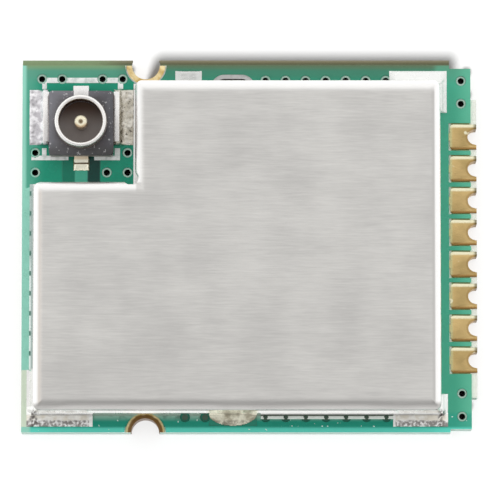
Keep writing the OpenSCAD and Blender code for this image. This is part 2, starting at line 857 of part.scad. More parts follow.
// Contact ring with a flared root and a snap groove, a strap and a wing on either side, and a back tab
module connector_shell() {
    r = ring_d / 2;
    lip = 0.05;
    groove_lift = 0.18;
    root_flare = 0.02;
    groove_z = base_h + groove_lift;
    groove_top = groove_z + groove_h;
    color([0.86, 0.85, 0.83]) translate([coax_x, coax_y, z_seat]) {
        rotate_extrude() polygon([
            [r - ring_wall, strap_z], [r + root_flare, strap_z], [r, groove_z],
            [r - groove_depth, groove_z + groove_h / 2], [r, groove_top],
            [r, ring_h - lip], [r - lip, ring_h],
            [r - ring_wall + lip, ring_h], [r - ring_wall, ring_h - lip]
        ]);
        for (wing_side = [1, -1]) rotate(wing_side > 0 ? 0 : 180) {
            layer(strap_z, strap_top) area(r - ring_wall / 2, base_l / 2, -strap_w / 2, strap_w / 2);
            layer(0, strap_top) translate([base_l / 2 + wing_w / 2, wing_side * land_shift])
                square([wing_w, wing_l], center = true);
        }
        layer(base_h - contact_t, base_h)
            area(-tab_w / 2, tab_w / 2, r - ring_wall / 2, base_w / 2 + tab_out);
        layer(0, base_h)
            area(-tab_w / 2, tab_w / 2, base_w / 2 + tab_out - contact_t, base_w / 2 + tab_out);
    }
}

// Centre pin on a flat strip that leaves the base as the signal terminal
module connector_contact() {
    r = pin_d / 2;
    tip = 0.08;
    color([0.86, 0.74, 0.42]) translate([coax_x, coax_y, z_seat]) {
        rotate_extrude() polygon([[0, 0], [r, 0], [r, pin_h - tip], [r - tip, pin_h], [0, pin_h]]);
        layer(0, contact_t) area(-terminal_w / 2, terminal_w / 2, -base_w / 2 - terminal_out, 0);
    }
}

// Moulded base round the two contacts, with a round well inside the ring
module connector_base() {
    edge_r = 0.12;
    color([0.2, 0.19, 0.21]) difference() {
        translate([coax_x, coax_y, z_seat]) difference() {
            layer(0, base_h) rounded_area(-base_l / 2, base_l / 2, -base_w / 2, base_w / 2, edge_r);
            translate([0, 0, floor_h]) cylinder(d = ring_d - 2 * ring_wall, h = base_h);
        }
        connector_shell();
        connector_contact();
    }
}

board_laminate();
solder_mask_top();
solder_mask_underside();
ground_foil();
feed_line();
for (n = [1:pad_count]) castellated_pad(n);
edge_terminal(1);  // edge_terminal_back
edge_terminal(-1);  // edge_terminal_front
stitching_vias();
leg_slot_plating();
component_lands();
transceiver_chip();
amplifier_chip();
crystal();
capacitors();
inductors();
resistors();
shield_solder();
shield_can();
connector_solder();
connector_shell();
connector_contact();
connector_base();
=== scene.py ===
"""Looks of a wireless transceiver module: board, shield can and coaxial receptacle, in assembly order."""

import json
import math
from types import SimpleNamespace

import bmesh
import bpy
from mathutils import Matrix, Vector, noise


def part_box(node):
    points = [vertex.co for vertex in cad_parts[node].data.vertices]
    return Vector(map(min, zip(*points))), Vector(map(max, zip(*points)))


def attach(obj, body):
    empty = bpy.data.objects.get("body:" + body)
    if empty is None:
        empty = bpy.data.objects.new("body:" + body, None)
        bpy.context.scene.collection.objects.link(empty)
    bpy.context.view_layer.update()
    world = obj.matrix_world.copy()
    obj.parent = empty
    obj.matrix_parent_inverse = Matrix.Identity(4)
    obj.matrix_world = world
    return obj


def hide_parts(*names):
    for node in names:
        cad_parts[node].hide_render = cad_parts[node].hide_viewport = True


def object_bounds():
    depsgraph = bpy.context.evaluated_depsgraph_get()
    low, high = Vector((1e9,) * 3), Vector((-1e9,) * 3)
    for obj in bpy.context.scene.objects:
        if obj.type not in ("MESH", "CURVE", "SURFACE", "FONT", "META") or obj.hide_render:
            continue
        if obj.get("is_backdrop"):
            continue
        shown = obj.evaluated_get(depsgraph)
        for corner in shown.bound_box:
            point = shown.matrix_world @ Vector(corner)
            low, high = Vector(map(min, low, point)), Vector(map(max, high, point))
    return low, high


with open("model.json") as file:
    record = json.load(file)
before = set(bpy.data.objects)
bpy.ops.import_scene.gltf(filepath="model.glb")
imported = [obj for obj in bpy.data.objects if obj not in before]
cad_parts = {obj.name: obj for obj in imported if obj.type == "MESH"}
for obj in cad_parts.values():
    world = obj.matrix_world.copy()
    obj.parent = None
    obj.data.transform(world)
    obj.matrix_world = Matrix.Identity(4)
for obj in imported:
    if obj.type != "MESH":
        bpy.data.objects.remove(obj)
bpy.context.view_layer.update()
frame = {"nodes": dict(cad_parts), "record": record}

# Board core
# Woven glass cloth in resin, pressed in plies. The castellated end is routed, the back edge was
# scored from both faces and snapped, so a rough web of torn glass stands out of it. Its dark
# brown is partly the glass's own and partly painted shade.

MM = 0.001


def span(node):
    """Lowest and highest corner of a CAD node, in millimetres."""
    low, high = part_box(node)
    return low / MM, high / MM


def linear(level):
    """An eight-bit screen level as a linear shader level."""
    share = level / 255
    return share / 12.92 if share <= 0.04045 else ((share + 0.055) / 1.055) ** 2.4


def palette(**tones):
    """Named shader colours, from the red, green and blue levels that each has on screen."""
    colours = {name: [linear(level) for level in levels] + [1] for name, levels in tones.items()}
    return SimpleNamespace(**colours)


class Wire:
    """One socket of a node tree. Arithmetic on it adds Math nodes to that tree."""

    def __init__(self, tree, socket=None):
        self.tree = tree
        self.socket = socket

    def node(self, kind, inputs=None, output=0, **settings):
        """A new node: the values or wires of its inputs, the output to go on from, and its settings."""
        made = self.tree.nodes.new(kind)
        for name, value in settings.items():
            setattr(made, name, value)
        for name, value in (inputs or {}).items():
            if isinstance(value, Wire):
                self.tree.links.new(value.socket, made.inputs[name])
            else:
                made.inputs[name].default_value = value
        return Wire(self.tree, made.outputs[output])

    def math(self, operation, *others):
        """This value and others through a Math node."""
        return self.node("ShaderNodeMath", dict(enumerate((self,) + others)), operation=operation)

    def __add__(self, other):
        return self.math("ADD", other)

    def __sub__(self, other):
        return self.math("SUBTRACT", other)

    def __rsub__(self, other):
        return self.math("MULTIPLY_ADD", -1.0, other)

    def __mul__(self, other):
        return self.math("MULTIPLY", other)

    def __truediv__(self, other):
        return self.math("DIVIDE", other)

    def __abs__(self):
        return self.math("ABSOLUTE")

    __radd__ = __add__
    __rmul__ = __mul__


def rising(value, low, high):
    """0 below low, 1 above high, and a soft rise between them."""
    return value.node("ShaderNodeMapRange", {"Value": value, "From Min": low, "From Max": high},
                      interpolation_type="SMOOTHSTEP")


def falling(value, low, high):
    """1 below low, 0 above high, and a soft fall between them."""
    return 1 - rising(value, low, high)


def band(value, low, full, wane, high):
    """1 between full and wane, with a soft rise before it and a soft fall after it."""
    return rising(value, low, full) * falling(value, wane, high)


def close_to(value, middle, inner, outer):
    """1 within the inner distance of a middle, 0 beyond the outer one."""
    return falling(abs(value - middle), inner, outer)


def axes(vector):
    """The three coordinates of a vector's wire."""
    parted = vector.node("ShaderNodeSeparateXYZ", {0: vector})
    return [Wire(vector.tree, socket) for socket in parted.socket.node.outputs]


def blend(share, first, second):
    """The first colour where the share is 0, the second where it is 1."""
    return share.node("ShaderNodeMix", {0: share, 6: first, 7: second}, 2, data_type="RGBA")


def layered(colour, layers):
    """A colour with others laid over it in turn, each by its share."""
    for share, over in layers:
        colour = blend(share, colour, over)
    return colour


def relief(height, depth):
    """Normal of a surface that rises by the height, as a share of a depth in millimetres."""
    return height.node("ShaderNodeBump", {"Height": height, "Strength": 1.0, "Distance": depth * MM})


class Finish:
    """A material with its Principled shader, and its object coordinates in millimetres."""

    def __init__(self, name, constants):
        self.material = bpy.data.materials.new(name)
        self.material.use_nodes = True
        tree = self.material.node_tree
        self.shader = tree.nodes["Principled BSDF"]
        for socket, value in constants.items():
            self.shader.inputs[socket].default_value = value
        metres = Wire(tree).node("ShaderNodeTexCoord", output="Object")
        self.place = metres.node("ShaderNodeVectorMath", {0: metres, "Scale": 1 / MM}, operation="SCALE")
        self.x, self.y, self.z = axes(self.place)

    def grain(self, scale, detail=3.0, stretch=(1, 1, 1)):
        """Cloudy noise from 0 to 1: so many lumps in a millimetre, times the stretch along each axis."""
        drawn = self.place.node("ShaderNodeVectorMath", {0: self.place, 1: stretch}, operation="MULTIPLY")
        return drawn.node("ShaderNodeTexNoise", {"Vector": drawn, "Scale": scale, "Detail": detail})

    def off_axis(self, x, y):
        """Distance from an upright axis. Its place may be wires too."""
        across = self.x - x
        along = self.y - y
        return (across * across + along * along).math("SQRT")

    def coat(self, colour, layers, **varying):
        """The material, with a colour under layers and with what else changes over the surface."""
        varying["Base Color"] = layered(colour, layers)
        for name, value in varying.items():
            value.tree.links.new(value.socket, self.shader.inputs[name])
        return self.material


def dress(node, material):
    """Gives a CAD node its finish."""
    frame["nodes"][node].material_slots[0].material = material


ply_count = 8
glass = palette(
    cut=(150, 158, 126), ply=(112, 112, 84), olive=(80, 100, 74), brown=(84, 78, 52),
    tip=(132, 126, 102), green=(126, 150, 110), pad_gap=(164, 166, 112), resin=(252, 254, 244),
    front=(206, 232, 222))

board_low, board_high = span("board_laminate")
mask_high = span("solder_mask_top")[1]
coax = next(Vector(m["pos_m"]) / MM for m in frame["record"]["mounts"] if m["name"] == "coax_ring")
can_low, can_high = span("shield_can")
can_points = [v.co / MM for v in frame["nodes"]["shield_can"].data.vertices]
notch_x = min(p.x for p in can_points if p.y > coax.y)
notch_y = max(p.y for p in can_points if p.x < coax.x)

core = Finish("glass_laminate", {"Roughness": 0.75, "Specular IOR Level": 0.2})
ply_t = (board_high.z - board_low.z) / ply_count
plies = ((core.z - board_low.z) * (math.tau / ply_t)).math("SINE") * 0.5 + 0.5
fibre = core.grain(9.0, 4.0, (1, 1, 5))
past_mask = core.y - mask_high.y
past_web = core.y - board_high.y
on_web = rising(past_mask, -0.01, 0.03)
# The web's dark brown is partly torn glass and partly painted shade, greener towards the left end where
# less shade is painted.
web = layered(glass.olive, [
    (rising(past_mask + fibre * 0.08, 0.0, 0.2), glass.brown),
    (rising(past_web + fibre * 0.1, -0.12, 0.06), glass.tip),
    (falling(core.x, notch_x - 2.0, notch_x) * 0.8, glass.green),
])
faces_front = 0 - axes(core.place.node("ShaderNodeNewGeometry", output="True Normal"))[1]
sides = layered(glass.cut, [
    (plies * 0.5 + fibre * 0.4, glass.ply),
    (on_web * (fibre * 0.4 + 0.7), web),
    # Faces turned to the front are painted pale: painted light on the board's front edge.
    (rising(faces_front, 0.5, 0.8) * 0.9, glass.front),
])
faces = layered(glass.resin, [
    (core.grain(14.0) * 0.12, glass.cut),
    (band(core.x - mask_high.x, -0.8, -0.75, -0.06, -0.02), glass.pad_gap),
])
on_face = rising(core.z - board_high.z, -0.012, -0.002) * (1 - on_web)
dress("board_laminate", core.coat(
    sides, [(on_face, faces)], Normal=relief(fibre + core.grain(30.0), 0.03)))

# Copper of the top face
# One etched foil makes the ground pour and its lands, tinned where the mask leaves it bare. The
# short feed line to the antenna receptacle and the small lands of the circuit are the same foil.

copper = palette(
    tin=(214, 214, 212), grey=(168, 168, 166), hazy=(160, 186, 170), green=(24, 140, 116),
    gold=(236, 214, 160), deep_gold=(206, 176, 116))

tin = Finish("tinned_copper", {})
tin_cloud = tin.grain(6.0)
# In front of the can the tinned copper is coloured pale grey-green by the wall and green further out, with
# little metal.
by_front_wall = falling(tin.y - can_low.y, 0.0, 0.1)
before_wall_tone = blend(rising(can_low.y - tin.y, 0.08, 0.3), copper.hazy, copper.green)
dull_tin = tin.coat(
    copper.tin, [(tin_cloud, copper.grey), (by_front_wall, before_wall_tone)],
    Metallic=1 - by_front_wall * 0.9,
    Roughness=tin_cloud * 0.3 + 0.25,
    Normal=relief(tin.grain(24.0), 0.006))
for node in ("ground_foil", "component_lands", "leg_slot_plating"):
    dress(node, dull_tin)

gilt = Finish("gold_finish", {"Metallic": 1.0})
gilt_cloud = gilt.grain(3.5)
dress("feed_line", gilt.coat(
    copper.gold, [(gilt_cloud, copper.deep_gold)],
    Roughness=gilt_cloud * 0.25 + 0.25,
    Normal=relief(gilt.grain(20.0), 0.008)))

# Solder mask
# Green epoxy ink, flooded over both faces and cured, glossy and a little uneven. It is thin enough
# that the copper under it shows as a lighter green, and the bare glass at the rim as mint.

epoxy = palette(
    on_copper=(20, 150, 119), on_glass=(8, 116, 92), gap=(4, 62, 54), on_feed=(66, 164, 138),
    mint=(148, 214, 194), pale=(212, 226, 204), front=(92, 216, 195), grey=(72, 122, 100),
    olive=(92, 112, 84), light=(96, 156, 134), moss=(128, 158, 116), end=(100, 190, 158),
    blue=(8, 154, 134), haze=(172, 206, 188), stain=(46, 84, 66), white=(222, 242, 234))
plain_corner_l = 1.72
feed_half = 0.25
feed_corridor = 0.75
feed_blur = 0.04

foil_low, foil_high = span("ground_foil")
feed_low, feed_high = span("feed_line")
feed_x = (feed_low.x + feed_high.x) / 2


def solder_mask(name, rim_share, on_top):
    """Mask finish: how strongly its rim colours show, from glass under thin ink to painted light and
    shade, and 1 for the top or 0 for the underside.
    """
    mask = Finish(name, {"Specular IOR Level": 0.3})
    cloud = mask.grain(0.8, 4.0)
    front_y = mask.y - can_low.y
    foil_x = mask.x - foil_low.x
    foil_y = mask.y - foil_low.y
    past_can = mask.x - can_high.x
    by_feed = on_top * band(mask.y, feed_low.y - 0.1, feed_low.y, feed_high.y + 0.1, feed_high.y + 0.2)
    corridor = by_feed * close_to(mask.x, feed_x, feed_corridor - feed_blur, feed_corridor + feed_blur)
    line = by_feed * close_to(mask.x, feed_x, feed_half - feed_blur, feed_half + feed_blur)
    beside_can = falling(mask.y - notch_y, -0.2, 0.0)
    by_notch = falling(mask.x - notch_x, -1.0, 0.0)
    before_can = falling(front_y, -0.1, 0.1)
    at_left = falling(foil_x - beside_can * 0.2, -0.14, 0.0)
    by_corner = rising(foil_y, -0.02, 0.0) * falling(front_y, plain_corner_l - 0.02, plain_corner_l)
    by_foot = on_top * band(front_y, -0.36, -0.06, 0.1, 0.3) * falling(past_can, -0.1, 0.0)
    blotches = rising(mask.grain(3.2), 0.5, 0.66)
    dots = on_top * rising(mask.grain(8.0, 0.0), 0.8, 0.83)
    colour = layered(epoxy.on_copper, [
        (cloud * 0.5, epoxy.on_glass),
        # The gap right of the feed line is painted much darker than the left one: painted shade.
        (corridor, blend(rising(mask.x - feed_x, 0.0, 0.3), epoxy.on_glass, epoxy.gap)),
        (line, epoxy.on_feed),
    ])
    rims = [
        (falling(foil_x, 0.0, 0.7) * 0.25, epoxy.mint),
        # The strip behind the can is painted greyer as painted reflection, and lighter beside the notch as
        # painted light.
        (rising(mask.y, can_high.y, mask_high.y - 0.3) * 0.7, blend(by_notch, epoxy.grey, epoxy.light)),
        (rising(mask.y - mask_high.y, -0.25, 0.0) * 0.9, blend(by_notch, epoxy.olive, epoxy.moss)),
        # The mask is painted lighter beside the can's right wall and towards the board's right end:
        # painted light.
        (rising(past_can, -0.3, 0.0) * 0.4, epoxy.end),
        (rising(mask.x, can_high.x + 0.5, mask_high.x) * 0.7, epoxy.end),
        (before_can * 0.5, epoxy.blue),
        # A pale band along the can's front foot is painted light.
        (by_foot * 0.8, epoxy.haze),
        # Dark blotches are laid along the can's front foot.
        (by_foot * blotches * 0.7, epoxy.stain),
        (falling(foil_y, -0.1, 0.03), epoxy.front),
        (before_can * dots, epoxy.white),
        (at_left, epoxy.mint),
        (at_left * by_corner, epoxy.pale),
    ]
    step = line - corridor + mask.grain(9.0) * 0.12 + mask.grain(2.2, 2.0) * 0.35
    return mask.coat(
        colour, [(share * rim_share, rim) for share, rim in rims],
        Roughness=cloud * 0.14 + 0.18,
        Normal=relief(step, 0.02))


dress("solder_mask_top", solder_mask("green_mask", 1.0, 1))
dress("solder_mask_underside", solder_mask("green_mask_underside", 0.5, 0))

# Castellated pads
# Eight gold-finished pads for soldering the module down. Each joins the two faces through a plated
# hole that the router cut in half, and a short trace runs from it under the mask.

pad_count = 8
pad_l = 1.05
pad_hole_r = 0.32
pad_hole_in = 0.05
pad_corner_r = 0.12
plating_t = 0.03
foil_t = 0.05
trace_w = 0.3
pad_bevel = 0.018
arc_steps = 14
fillet_steps = 5
gilding = palette(
    bright=(220, 190, 131), dull=(196, 169, 113), cream=(250, 244, 210), olive=(206, 200, 150),
    brown=(160, 122, 70), burr=(84, 72, 40))


def arc(middle, radius, start, end, steps):
    """Points of a circular arc between two angles in degrees."""
    turns = [math.radians(start + (end - start) * i / steps) for i in range(steps + 1)]
    return [(middle[0] + radius * math.cos(t), middle[1] + radius * math.sin(t)) for t in turns]


def slab(bm, outline, low, high, bevel=0.0):
    """A prism over a plan outline between two heights, with its upper edges rounded off."""
    foot = [bm.verts.new((x * MM, y * MM, low * MM)) for x, y in outline]
    head = [bm.verts.new((x * MM, y * MM, high * MM)) for x, y in outline]
    bm.faces.new(foot[::-1])
    top = bm.faces.new(head)
    for i in range(len(outline)):
        bm.faces.new((foot[i - 1], foot[i], head[i], head[i - 1]))
    if bevel:
        bmesh.ops.bevel(bm, geom=list(top.edges), offset=bevel * MM, segments=2, profile=0.5,
                        affect="EDGES")


def plated_edge(bm, ring, tube, low, high):
    """A plated half hole: a ring of foil on either face and a tube between them."""
    slab(bm, ring, low, low + foil_t)
    slab(bm, tube, low + foil_t, high - foil_t)
    slab(bm, ring, high - foil_t, high, pad_bevel)


def rectangle(x0, x1, y0, y1):
    """Plan outline of a rectangle."""
    return [(x0, y0), (x1, y0), (x1, y1), (x0, y1)]


def mesh_of(bm, name, sharp=35):
    """Plain mesh of a finished bmesh: faces outward, smooth up to a sharp angle in degrees."""
    bmesh.ops.recalc_face_normals(bm, faces=bm.faces)
    mesh = bpy.data.meshes.new(name)
    bm.to_mesh(mesh)
    bm.free()
    mesh.shade_smooth()
    mesh.set_sharp_from_angle(angle=math.radians(sharp))
    return mesh


def show(data, name):
    """An object of a mesh, a lamp or a camera in the scene."""
    piece = bpy.data.objects.new(name, data)
    bpy.context.scene.collection.objects.link(piece)
    return piece


def form(bm, name, sharp=35):
    """An object of a finished bmesh in the scene."""
    return show(mesh_of(bm, name, sharp), name)


def fit(piece, slot, *nodes, finish=None):
    """Fixes a piece to the module in place of CAD nodes, with a finish if its own tree gives it none."""
    if finish:
        piece.data.materials.clear()
        piece.data.materials.append(finish)
    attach(piece, "root")
    if nodes:
        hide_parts(*nodes)


def settle(piece):
    """Makes a plain mesh of a piece's modifiers and removes them."""
    graph = bpy.context.evaluated_depsgraph_get()
    mesh = bpy.data.meshes.new_from_object(piece.evaluated_get(graph), depsgraph=graph)
    piece.modifiers.clear()
    piece.data = mesh


class Recipe:
    """A Geometry Nodes tree with named inputs, laid on one piece as a modifier."""

    def __init__(self, name, piece):
        self.piece = piece
        self.tree = bpy.data.node_groups.new(name, "GeometryNodeTree")
        self.start = self.tree.nodes.new("NodeGroupInput")
        self.end = self.tree.nodes.new("NodeGroupOutput")
        for way in ("INPUT", "OUTPUT"):
            self.tree.interface.new_socket("Geometry", in_out=way, socket_type="NodeSocketGeometry")
        self.modifier = piece.modifiers.new(name, "NODES")
        self.modifier.node_group = self.tree

    def input(self, name, kind, value):
        """A named input of the tree, set on the modifier."""
        socket = self.tree.interface.new_socket(name, in_out="INPUT", socket_type=kind)
        self.modifier[socket.identifier] = value
        return Wire(self.tree, self.start.outputs[name])

    def serve(self, original, material, inputs):
        """Ends the tree with copies of an original on points, made real and finished, and applies it."""
        source = self.input("Original", "NodeSocketObject", original)
        shape = source.node("GeometryNodeObjectInfo", {"Object": source}, "Geometry")
        copies = shape.node("GeometryNodeInstanceOnPoints", {"Instance": shape} | inputs)
        real = copies.node("GeometryNodeRealizeInstances", {0: copies})
        dressed = real.node("GeometryNodeSetMaterial", {"Geometry": real, "Material": material})
        self.tree.links.new(dressed.socket, self.end.inputs[0])
        settle(self.piece)
        bpy.data.objects.remove(original)


first_low, first_high = span("castellated_pad_1")
pad_w = first_high.y - first_low.y
pad_pitch = first_high.y - span("castellated_pad_2")[1].y
pad_x = first_high.x
pad_y = (first_low.y + first_high.y) / 2
trace_l = first_high.x - first_low.x
hole_x = pad_x - pad_hole_in


def half_hole(radius):
    """Arc of a pad's hole, from its back end at the board's edge round to its front end."""
    reach = math.degrees(math.acos(pad_hole_in / radius))
    return arc((hole_x, pad_y), radius, reach, 360 - reach, arc_steps)


bend_x = pad_x - pad_l + pad_corner_r
bend_y = pad_w / 2 - pad_corner_r
pad_arc = half_hole(pad_hole_r)[::-1]
pad_outline = ([(pad_x, pad_y - pad_w / 2)] + pad_arc + [(pad_x, pad_y + pad_w / 2)]
               + arc((bend_x, pad_y + bend_y), pad_corner_r, 90, 180, fillet_steps)
               + arc((bend_x, pad_y - bend_y), pad_corner_r, 180, 270, fillet_steps))
bm = bmesh.new()
plated_edge(bm, pad_outline, half_hole(pad_hole_r + plating_t) + pad_arc, first_low.z, first_high.z)
slab(bm, rectangle(pad_x - trace_l, pad_x - pad_l, pad_y - trace_w / 2, pad_y + trace_w / 2),
     first_high.z - foil_t, first_high.z)
one_pad = form(bm, "one_pad")

plated = Finish("castellated_gold", {"Metallic": 1.0})
plated_cloud = plated.grain(1.1)
plated_fine = plated.grain(16.0)
wander = plated_fine * 0.06
pad_index = ((plated.y - pad_y) / pad_pitch).math("ROUND")
middle_y = pad_index * pad_pitch + pad_y
across = plated.y - middle_y
edge_x = plated.x - pad_x
by_hole = falling(plated.off_axis(hole_x, middle_y) - wander - pad_hole_r, 0.0, 0.06)
at_tip = rising(edge_x + wander, -0.14, 0.0)
in_hole = falling(plated.z - first_high.z, -0.08, -0.03)
specks = rising(plated.grain(2.3, 1.0), 0.7, 0.74)
castellated_gold = plated.coat(gilding.bright, [
    (rising(plated_cloud, 0.32, 0.68), gilding.dull),
    (falling(edge_x + pad_l - wander, 0.0, 0.1), gilding.olive),
    # The brown band along each pad's front edge is painted shade.
    (falling(across + pad_w / 2 - wander, 0.0, 0.1), gilding.brown),
    (rising(across - pad_w / 2 + wander, -0.13, -0.05), gilding.cream),
    (by_hole * 0.4, gilding.brown),
    (at_tip * rising(across, 0.0, 0.2) * 0.75, gilding.burr),
    (in_hole * 0.3, gilding.brown),
    (specks, gilding.cream),
], Roughness=plated_fine * 0.25 + 0.28, Normal=relief(plated_fine + plated_cloud, 0.012))

pads = show(bpy.data.meshes.new("castellated_pads"), "castellated_pads")
row = Recipe("castellated_row", pads)
count = row.input("Count", "NodeSocketInt", pad_count)
pitch = row.input("Pitch", "NodeSocketFloat", pad_pitch * MM)
offset = pitch.node("ShaderNodeCombineXYZ", {"Y": 0 - pitch})
line = pitch.node("GeometryNodeMeshLine", {"Count": count, "Offset": offset})
row.serve(one_pad, castellated_gold, {"Points": line})
fit(pads, "gold_finish", *[f"castellated_pad_{n}" for n in range(1, pad_count + 1)])

# Edge terminals
# Two larger plated half holes in the long edges, gold finished like the pads, which give the
# board a ground connection beside the receptacle.

terminal_r = 0.55
terminal_ring = 0.22
hoop = palette(cream=(250, 230, 178), gold=(214, 180, 112), brown=(112, 78, 40), rim=(206, 198, 146))

terminal_low, terminal_high = span("edge_terminal_front")
terminal_x = (terminal_low.x + terminal_high.x) / 2
half_ring = Finish("terminal_gold", {"Metallic": 1.0})
ring_cloud = half_ring.grain(2.6)
front_ring = falling(half_ring.y, -1.0, 1.0)
ring_middle_y = half_ring.y.math("SIGN") * mask_high.y
off_hole = half_ring.off_axis(terminal_x, ring_middle_y) - terminal_r
inner_edge = falling(off_hole - ring_cloud * 0.1, 0.06, 0.14)
outer_edge = rising(off_hole - terminal_ring, -0.06, -0.02)
low_in_hole = falling(half_ring.z - terminal_high.z, -0.1, -0.03)
terminal_gold = half_ring.coat(hoop.cream, [
    (rising(ring_cloud, 0.35, 0.65), hoop.gold),
    (front_ring * inner_edge * 0.9 + low_in_hole * 0.5, hoop.brown),
    (front_ring * outer_edge, hoop.rim),
], Roughness=ring_cloud * 0.25 + 0.25, Normal=relief(half_ring.grain(14.0) + ring_cloud, 0.02))

for node, side in (("edge_terminal_back", 1), ("edge_terminal_front", -1)):
    low, high = span(node)
    middle = ((low.x + high.x) / 2, side * mask_high.y)
    start = 180 if side > 0 else 0
    half_turn = (start, start + 180, 2 * arc_steps)
    inner = arc(middle, terminal_r, *half_turn)[::-1]
    ring = arc(middle, terminal_r + terminal_ring, *half_turn) + inner
    tube = arc(middle, terminal_r + plating_t, *half_turn) + inner
    bm = bmesh.new()
    plated_edge(bm, ring, tube, low.z, high.z)
    fit(form(bm, node + "_ring"), "gold_finish", node, finish=terminal_gold)

# Stitching vias
# Small plated holes that tie the ground copper of both faces together, drilled in rows along the
# edges and round the receptacle. Thin ink creeps over their rings. It closes the holes beside the can
# at the left and at the front, and the others stay open.

via_r = 0.125
via_ring_r = 0.2
via_lip = 0.012
via_turns = 28
via_smallest = 0.96
via_seed = 7
plating = palette(ink=(140, 190, 170), tin=(196, 212, 202), covered=(36, 118, 98), hole=(40, 42, 34))


def islands(node):
    """Boxes of the separate solids of a CAD node, in millimetres."""
    bm = bmesh.new()
    bm.from_mesh(frame["nodes"][node].data)
    bmesh.ops.remove_doubles(bm, verts=bm.verts, dist=1e-7)
    found = []
    waiting = set(bm.verts)
    while waiting:
        front = [waiting.pop()]
        reached = []
        while front:
            vertex = front.pop()
            reached.append(vertex.co / MM)
            near = {edge.other_vert(vertex) for edge in vertex.link_edges} & waiting
            waiting -= near
            front.extend(near)
        low, high = [Vector([pick(p[axis] for p in reached) for axis in range(3)]) for pick in (min, max)]
        found.append((low, high))
    bm.free()
    return sorted(found, key=lambda box: tuple(box[0]))


def lathe(bm, profile, middle, turns):
    """Turns a closed profile of radius and height about an upright axis."""
    rings = []
    for i in range(turns):
        angle = math.tau * i / turns
        rings.append([bm.verts.new(((middle[0] + r * math.cos(angle)) * MM,
                                    (middle[1] + r * math.sin(angle)) * MM, z * MM)) for r, z in profile])
    for i in range(turns):
        for j in range(len(profile)):
            bm.faces.new((rings[i - 1][j - 1], rings[i][j - 1], rings[i][j], rings[i - 1][j]))


via_boxes = islands("stitching_vias")
via_places = [((low.x + high.x) / 2, (low.y + high.y) / 2) for low, high in via_boxes]
via_low, via_high = via_boxes[0]
bm = bmesh.new()
lathe(bm, [(via_r, via_low.z), (via_ring_r, via_low.z), (via_ring_r, via_low.z + foil_t),
           (via_r + plating_t, via_low.z + foil_t), (via_r + plating_t, via_high.z - foil_t),
           (via_ring_r, via_high.z - foil_t), (via_ring_r, via_high.z - via_lip),
           (via_ring_r - via_lip, via_high.z), (via_r + via_lip, via_high.z),
           (via_r, via_high.z - via_lip)], (0, 0), via_turns)
one_via = form(bm, "one_via")

stitched = Finish("via_plating", {"Metallic": 0.4})
via_cloud = stitched.grain(5.0)
front_row = falling(stitched.y - can_low.y, 0.0, 1.0) * falling(stitched.x - can_high.x, 0.0, 0.2)
via_finish = stitched.coat(plating.ink, [
    (via_cloud, plating.tin),
    (front_row, plating.covered),
    (falling(stitched.x - can_low.x, -0.05, 0.0), epoxy.mint),
    # The inside of each hole is painted near black: painted shade.
    (falling(stitched.z - via_high.z, -0.12, -0.02), plating.hole),
], Roughness=via_cloud * 0.2 + 0.35, Normal=relief(stitched.grain(25.0), 0.01))

points = bpy.data.meshes.new("via_places")
points.from_pydata([(x * MM, y * MM, 0) for x, y in via_places], [], [])
vias = show(points, "stitched_vias")
drilled = Recipe("via_rows", vias)
smallest = drilled.input("Smallest", "NodeSocketFloat", via_smallest)
largest = drilled.input("Largest", "NodeSocketFloat", 1.0)
seed = drilled.input("Seed", "NodeSocketInt", via_seed)
size = smallest.node("FunctionNodeRandomValue", {2: smallest, 3: largest, "Seed": seed}, 1,
                     data_type="FLOAT")
scale = size.node("ShaderNodeCombineXYZ", {"X": size, "Y": size, "Z": 1.0})
places = Wire(drilled.tree, drilled.start.outputs["Geometry"])
drilled.serve(one_via, via_finish, {"Points": places, "Scale": scale})
fit(vias, "tinned_copper", "stitching_vias")

plug_sink = 0.02
plug_t = 0.1
plug_turns = 24
tent_lap = 0.05
tent_t = 0.003
plug = palette(mint=(146, 211, 191), olive=(80, 104, 88))


def circle(middle, radius, turns):
    """Points of a full circle."""
    return arc(middle, radius, 0, 360 - 360 / turns, turns - 1)


covered = [(x, y) for x, y in via_places
           if (x < can_low.x and y < notch_y) or (y < can_low.y and x < can_high.x)]
bm = bmesh.new()
for place in covered:
    tented = place[0] < can_low.x
    plug_r = via_ring_r + tent_lap if tented else via_r + plating_t / 2
    plug_top = mask_high.z + tent_t if tented else via_high.z - plug_sink
    slab(bm, circle(place, plug_r, plug_turns), via_high.z - plug_t, plug_top)
plug_ink = Finish("plug_ink", {"Roughness": 0.4, "Specular IOR Level": 0.3})
plug_finish = plug_ink.coat(
    plug.olive, [(falling(plug_ink.x - can_low.x, -0.05, 0.0), plug.mint)],
    Normal=relief(plug_ink.grain(20.0), 0.02))
fit(form(bm, "ink_plugs"), "green_mask", finish=plug_finish)

# Printed outline
# White epoxy ink, printed over the mask round the receptacle's place and broken at its lands. Its
# edge is a little ragged, and it stays clear of the open holes.

ink_t = 0.014
ink_w = 0.2
cell = 0.03
hole_clear = 0.2
sink = 0.004
outline_left = -1.47
outline_right = 1.43
outline_back = 1.78
outline_front = -1.33
back_over = 0.12
back_return = 0.26
front_over = 0.4
front_return = 0.3
front_break = (-0.62, 0.6)
printing = palette(white=(236, 238, 236), worn=(150, 172, 164))


def cells_in(areas, bare):
    """Grid cells whose middles lie in one of the rectangles and outside every bare disc."""
    cells = set()
    for x0, x1, y0, y1 in areas:
        for i in range(round(x0 / cell), round(x1 / cell)):
            for j in range(round(y0 / cell), round(y1 / cell)):
                x, y = (i + 0.5) * cell, (j + 0.5) * cell
                if all((x - u) ** 2 + (y - v) ** 2 > r * r for u, v, r in bare):
                    cells.add((i, j))
    return cells


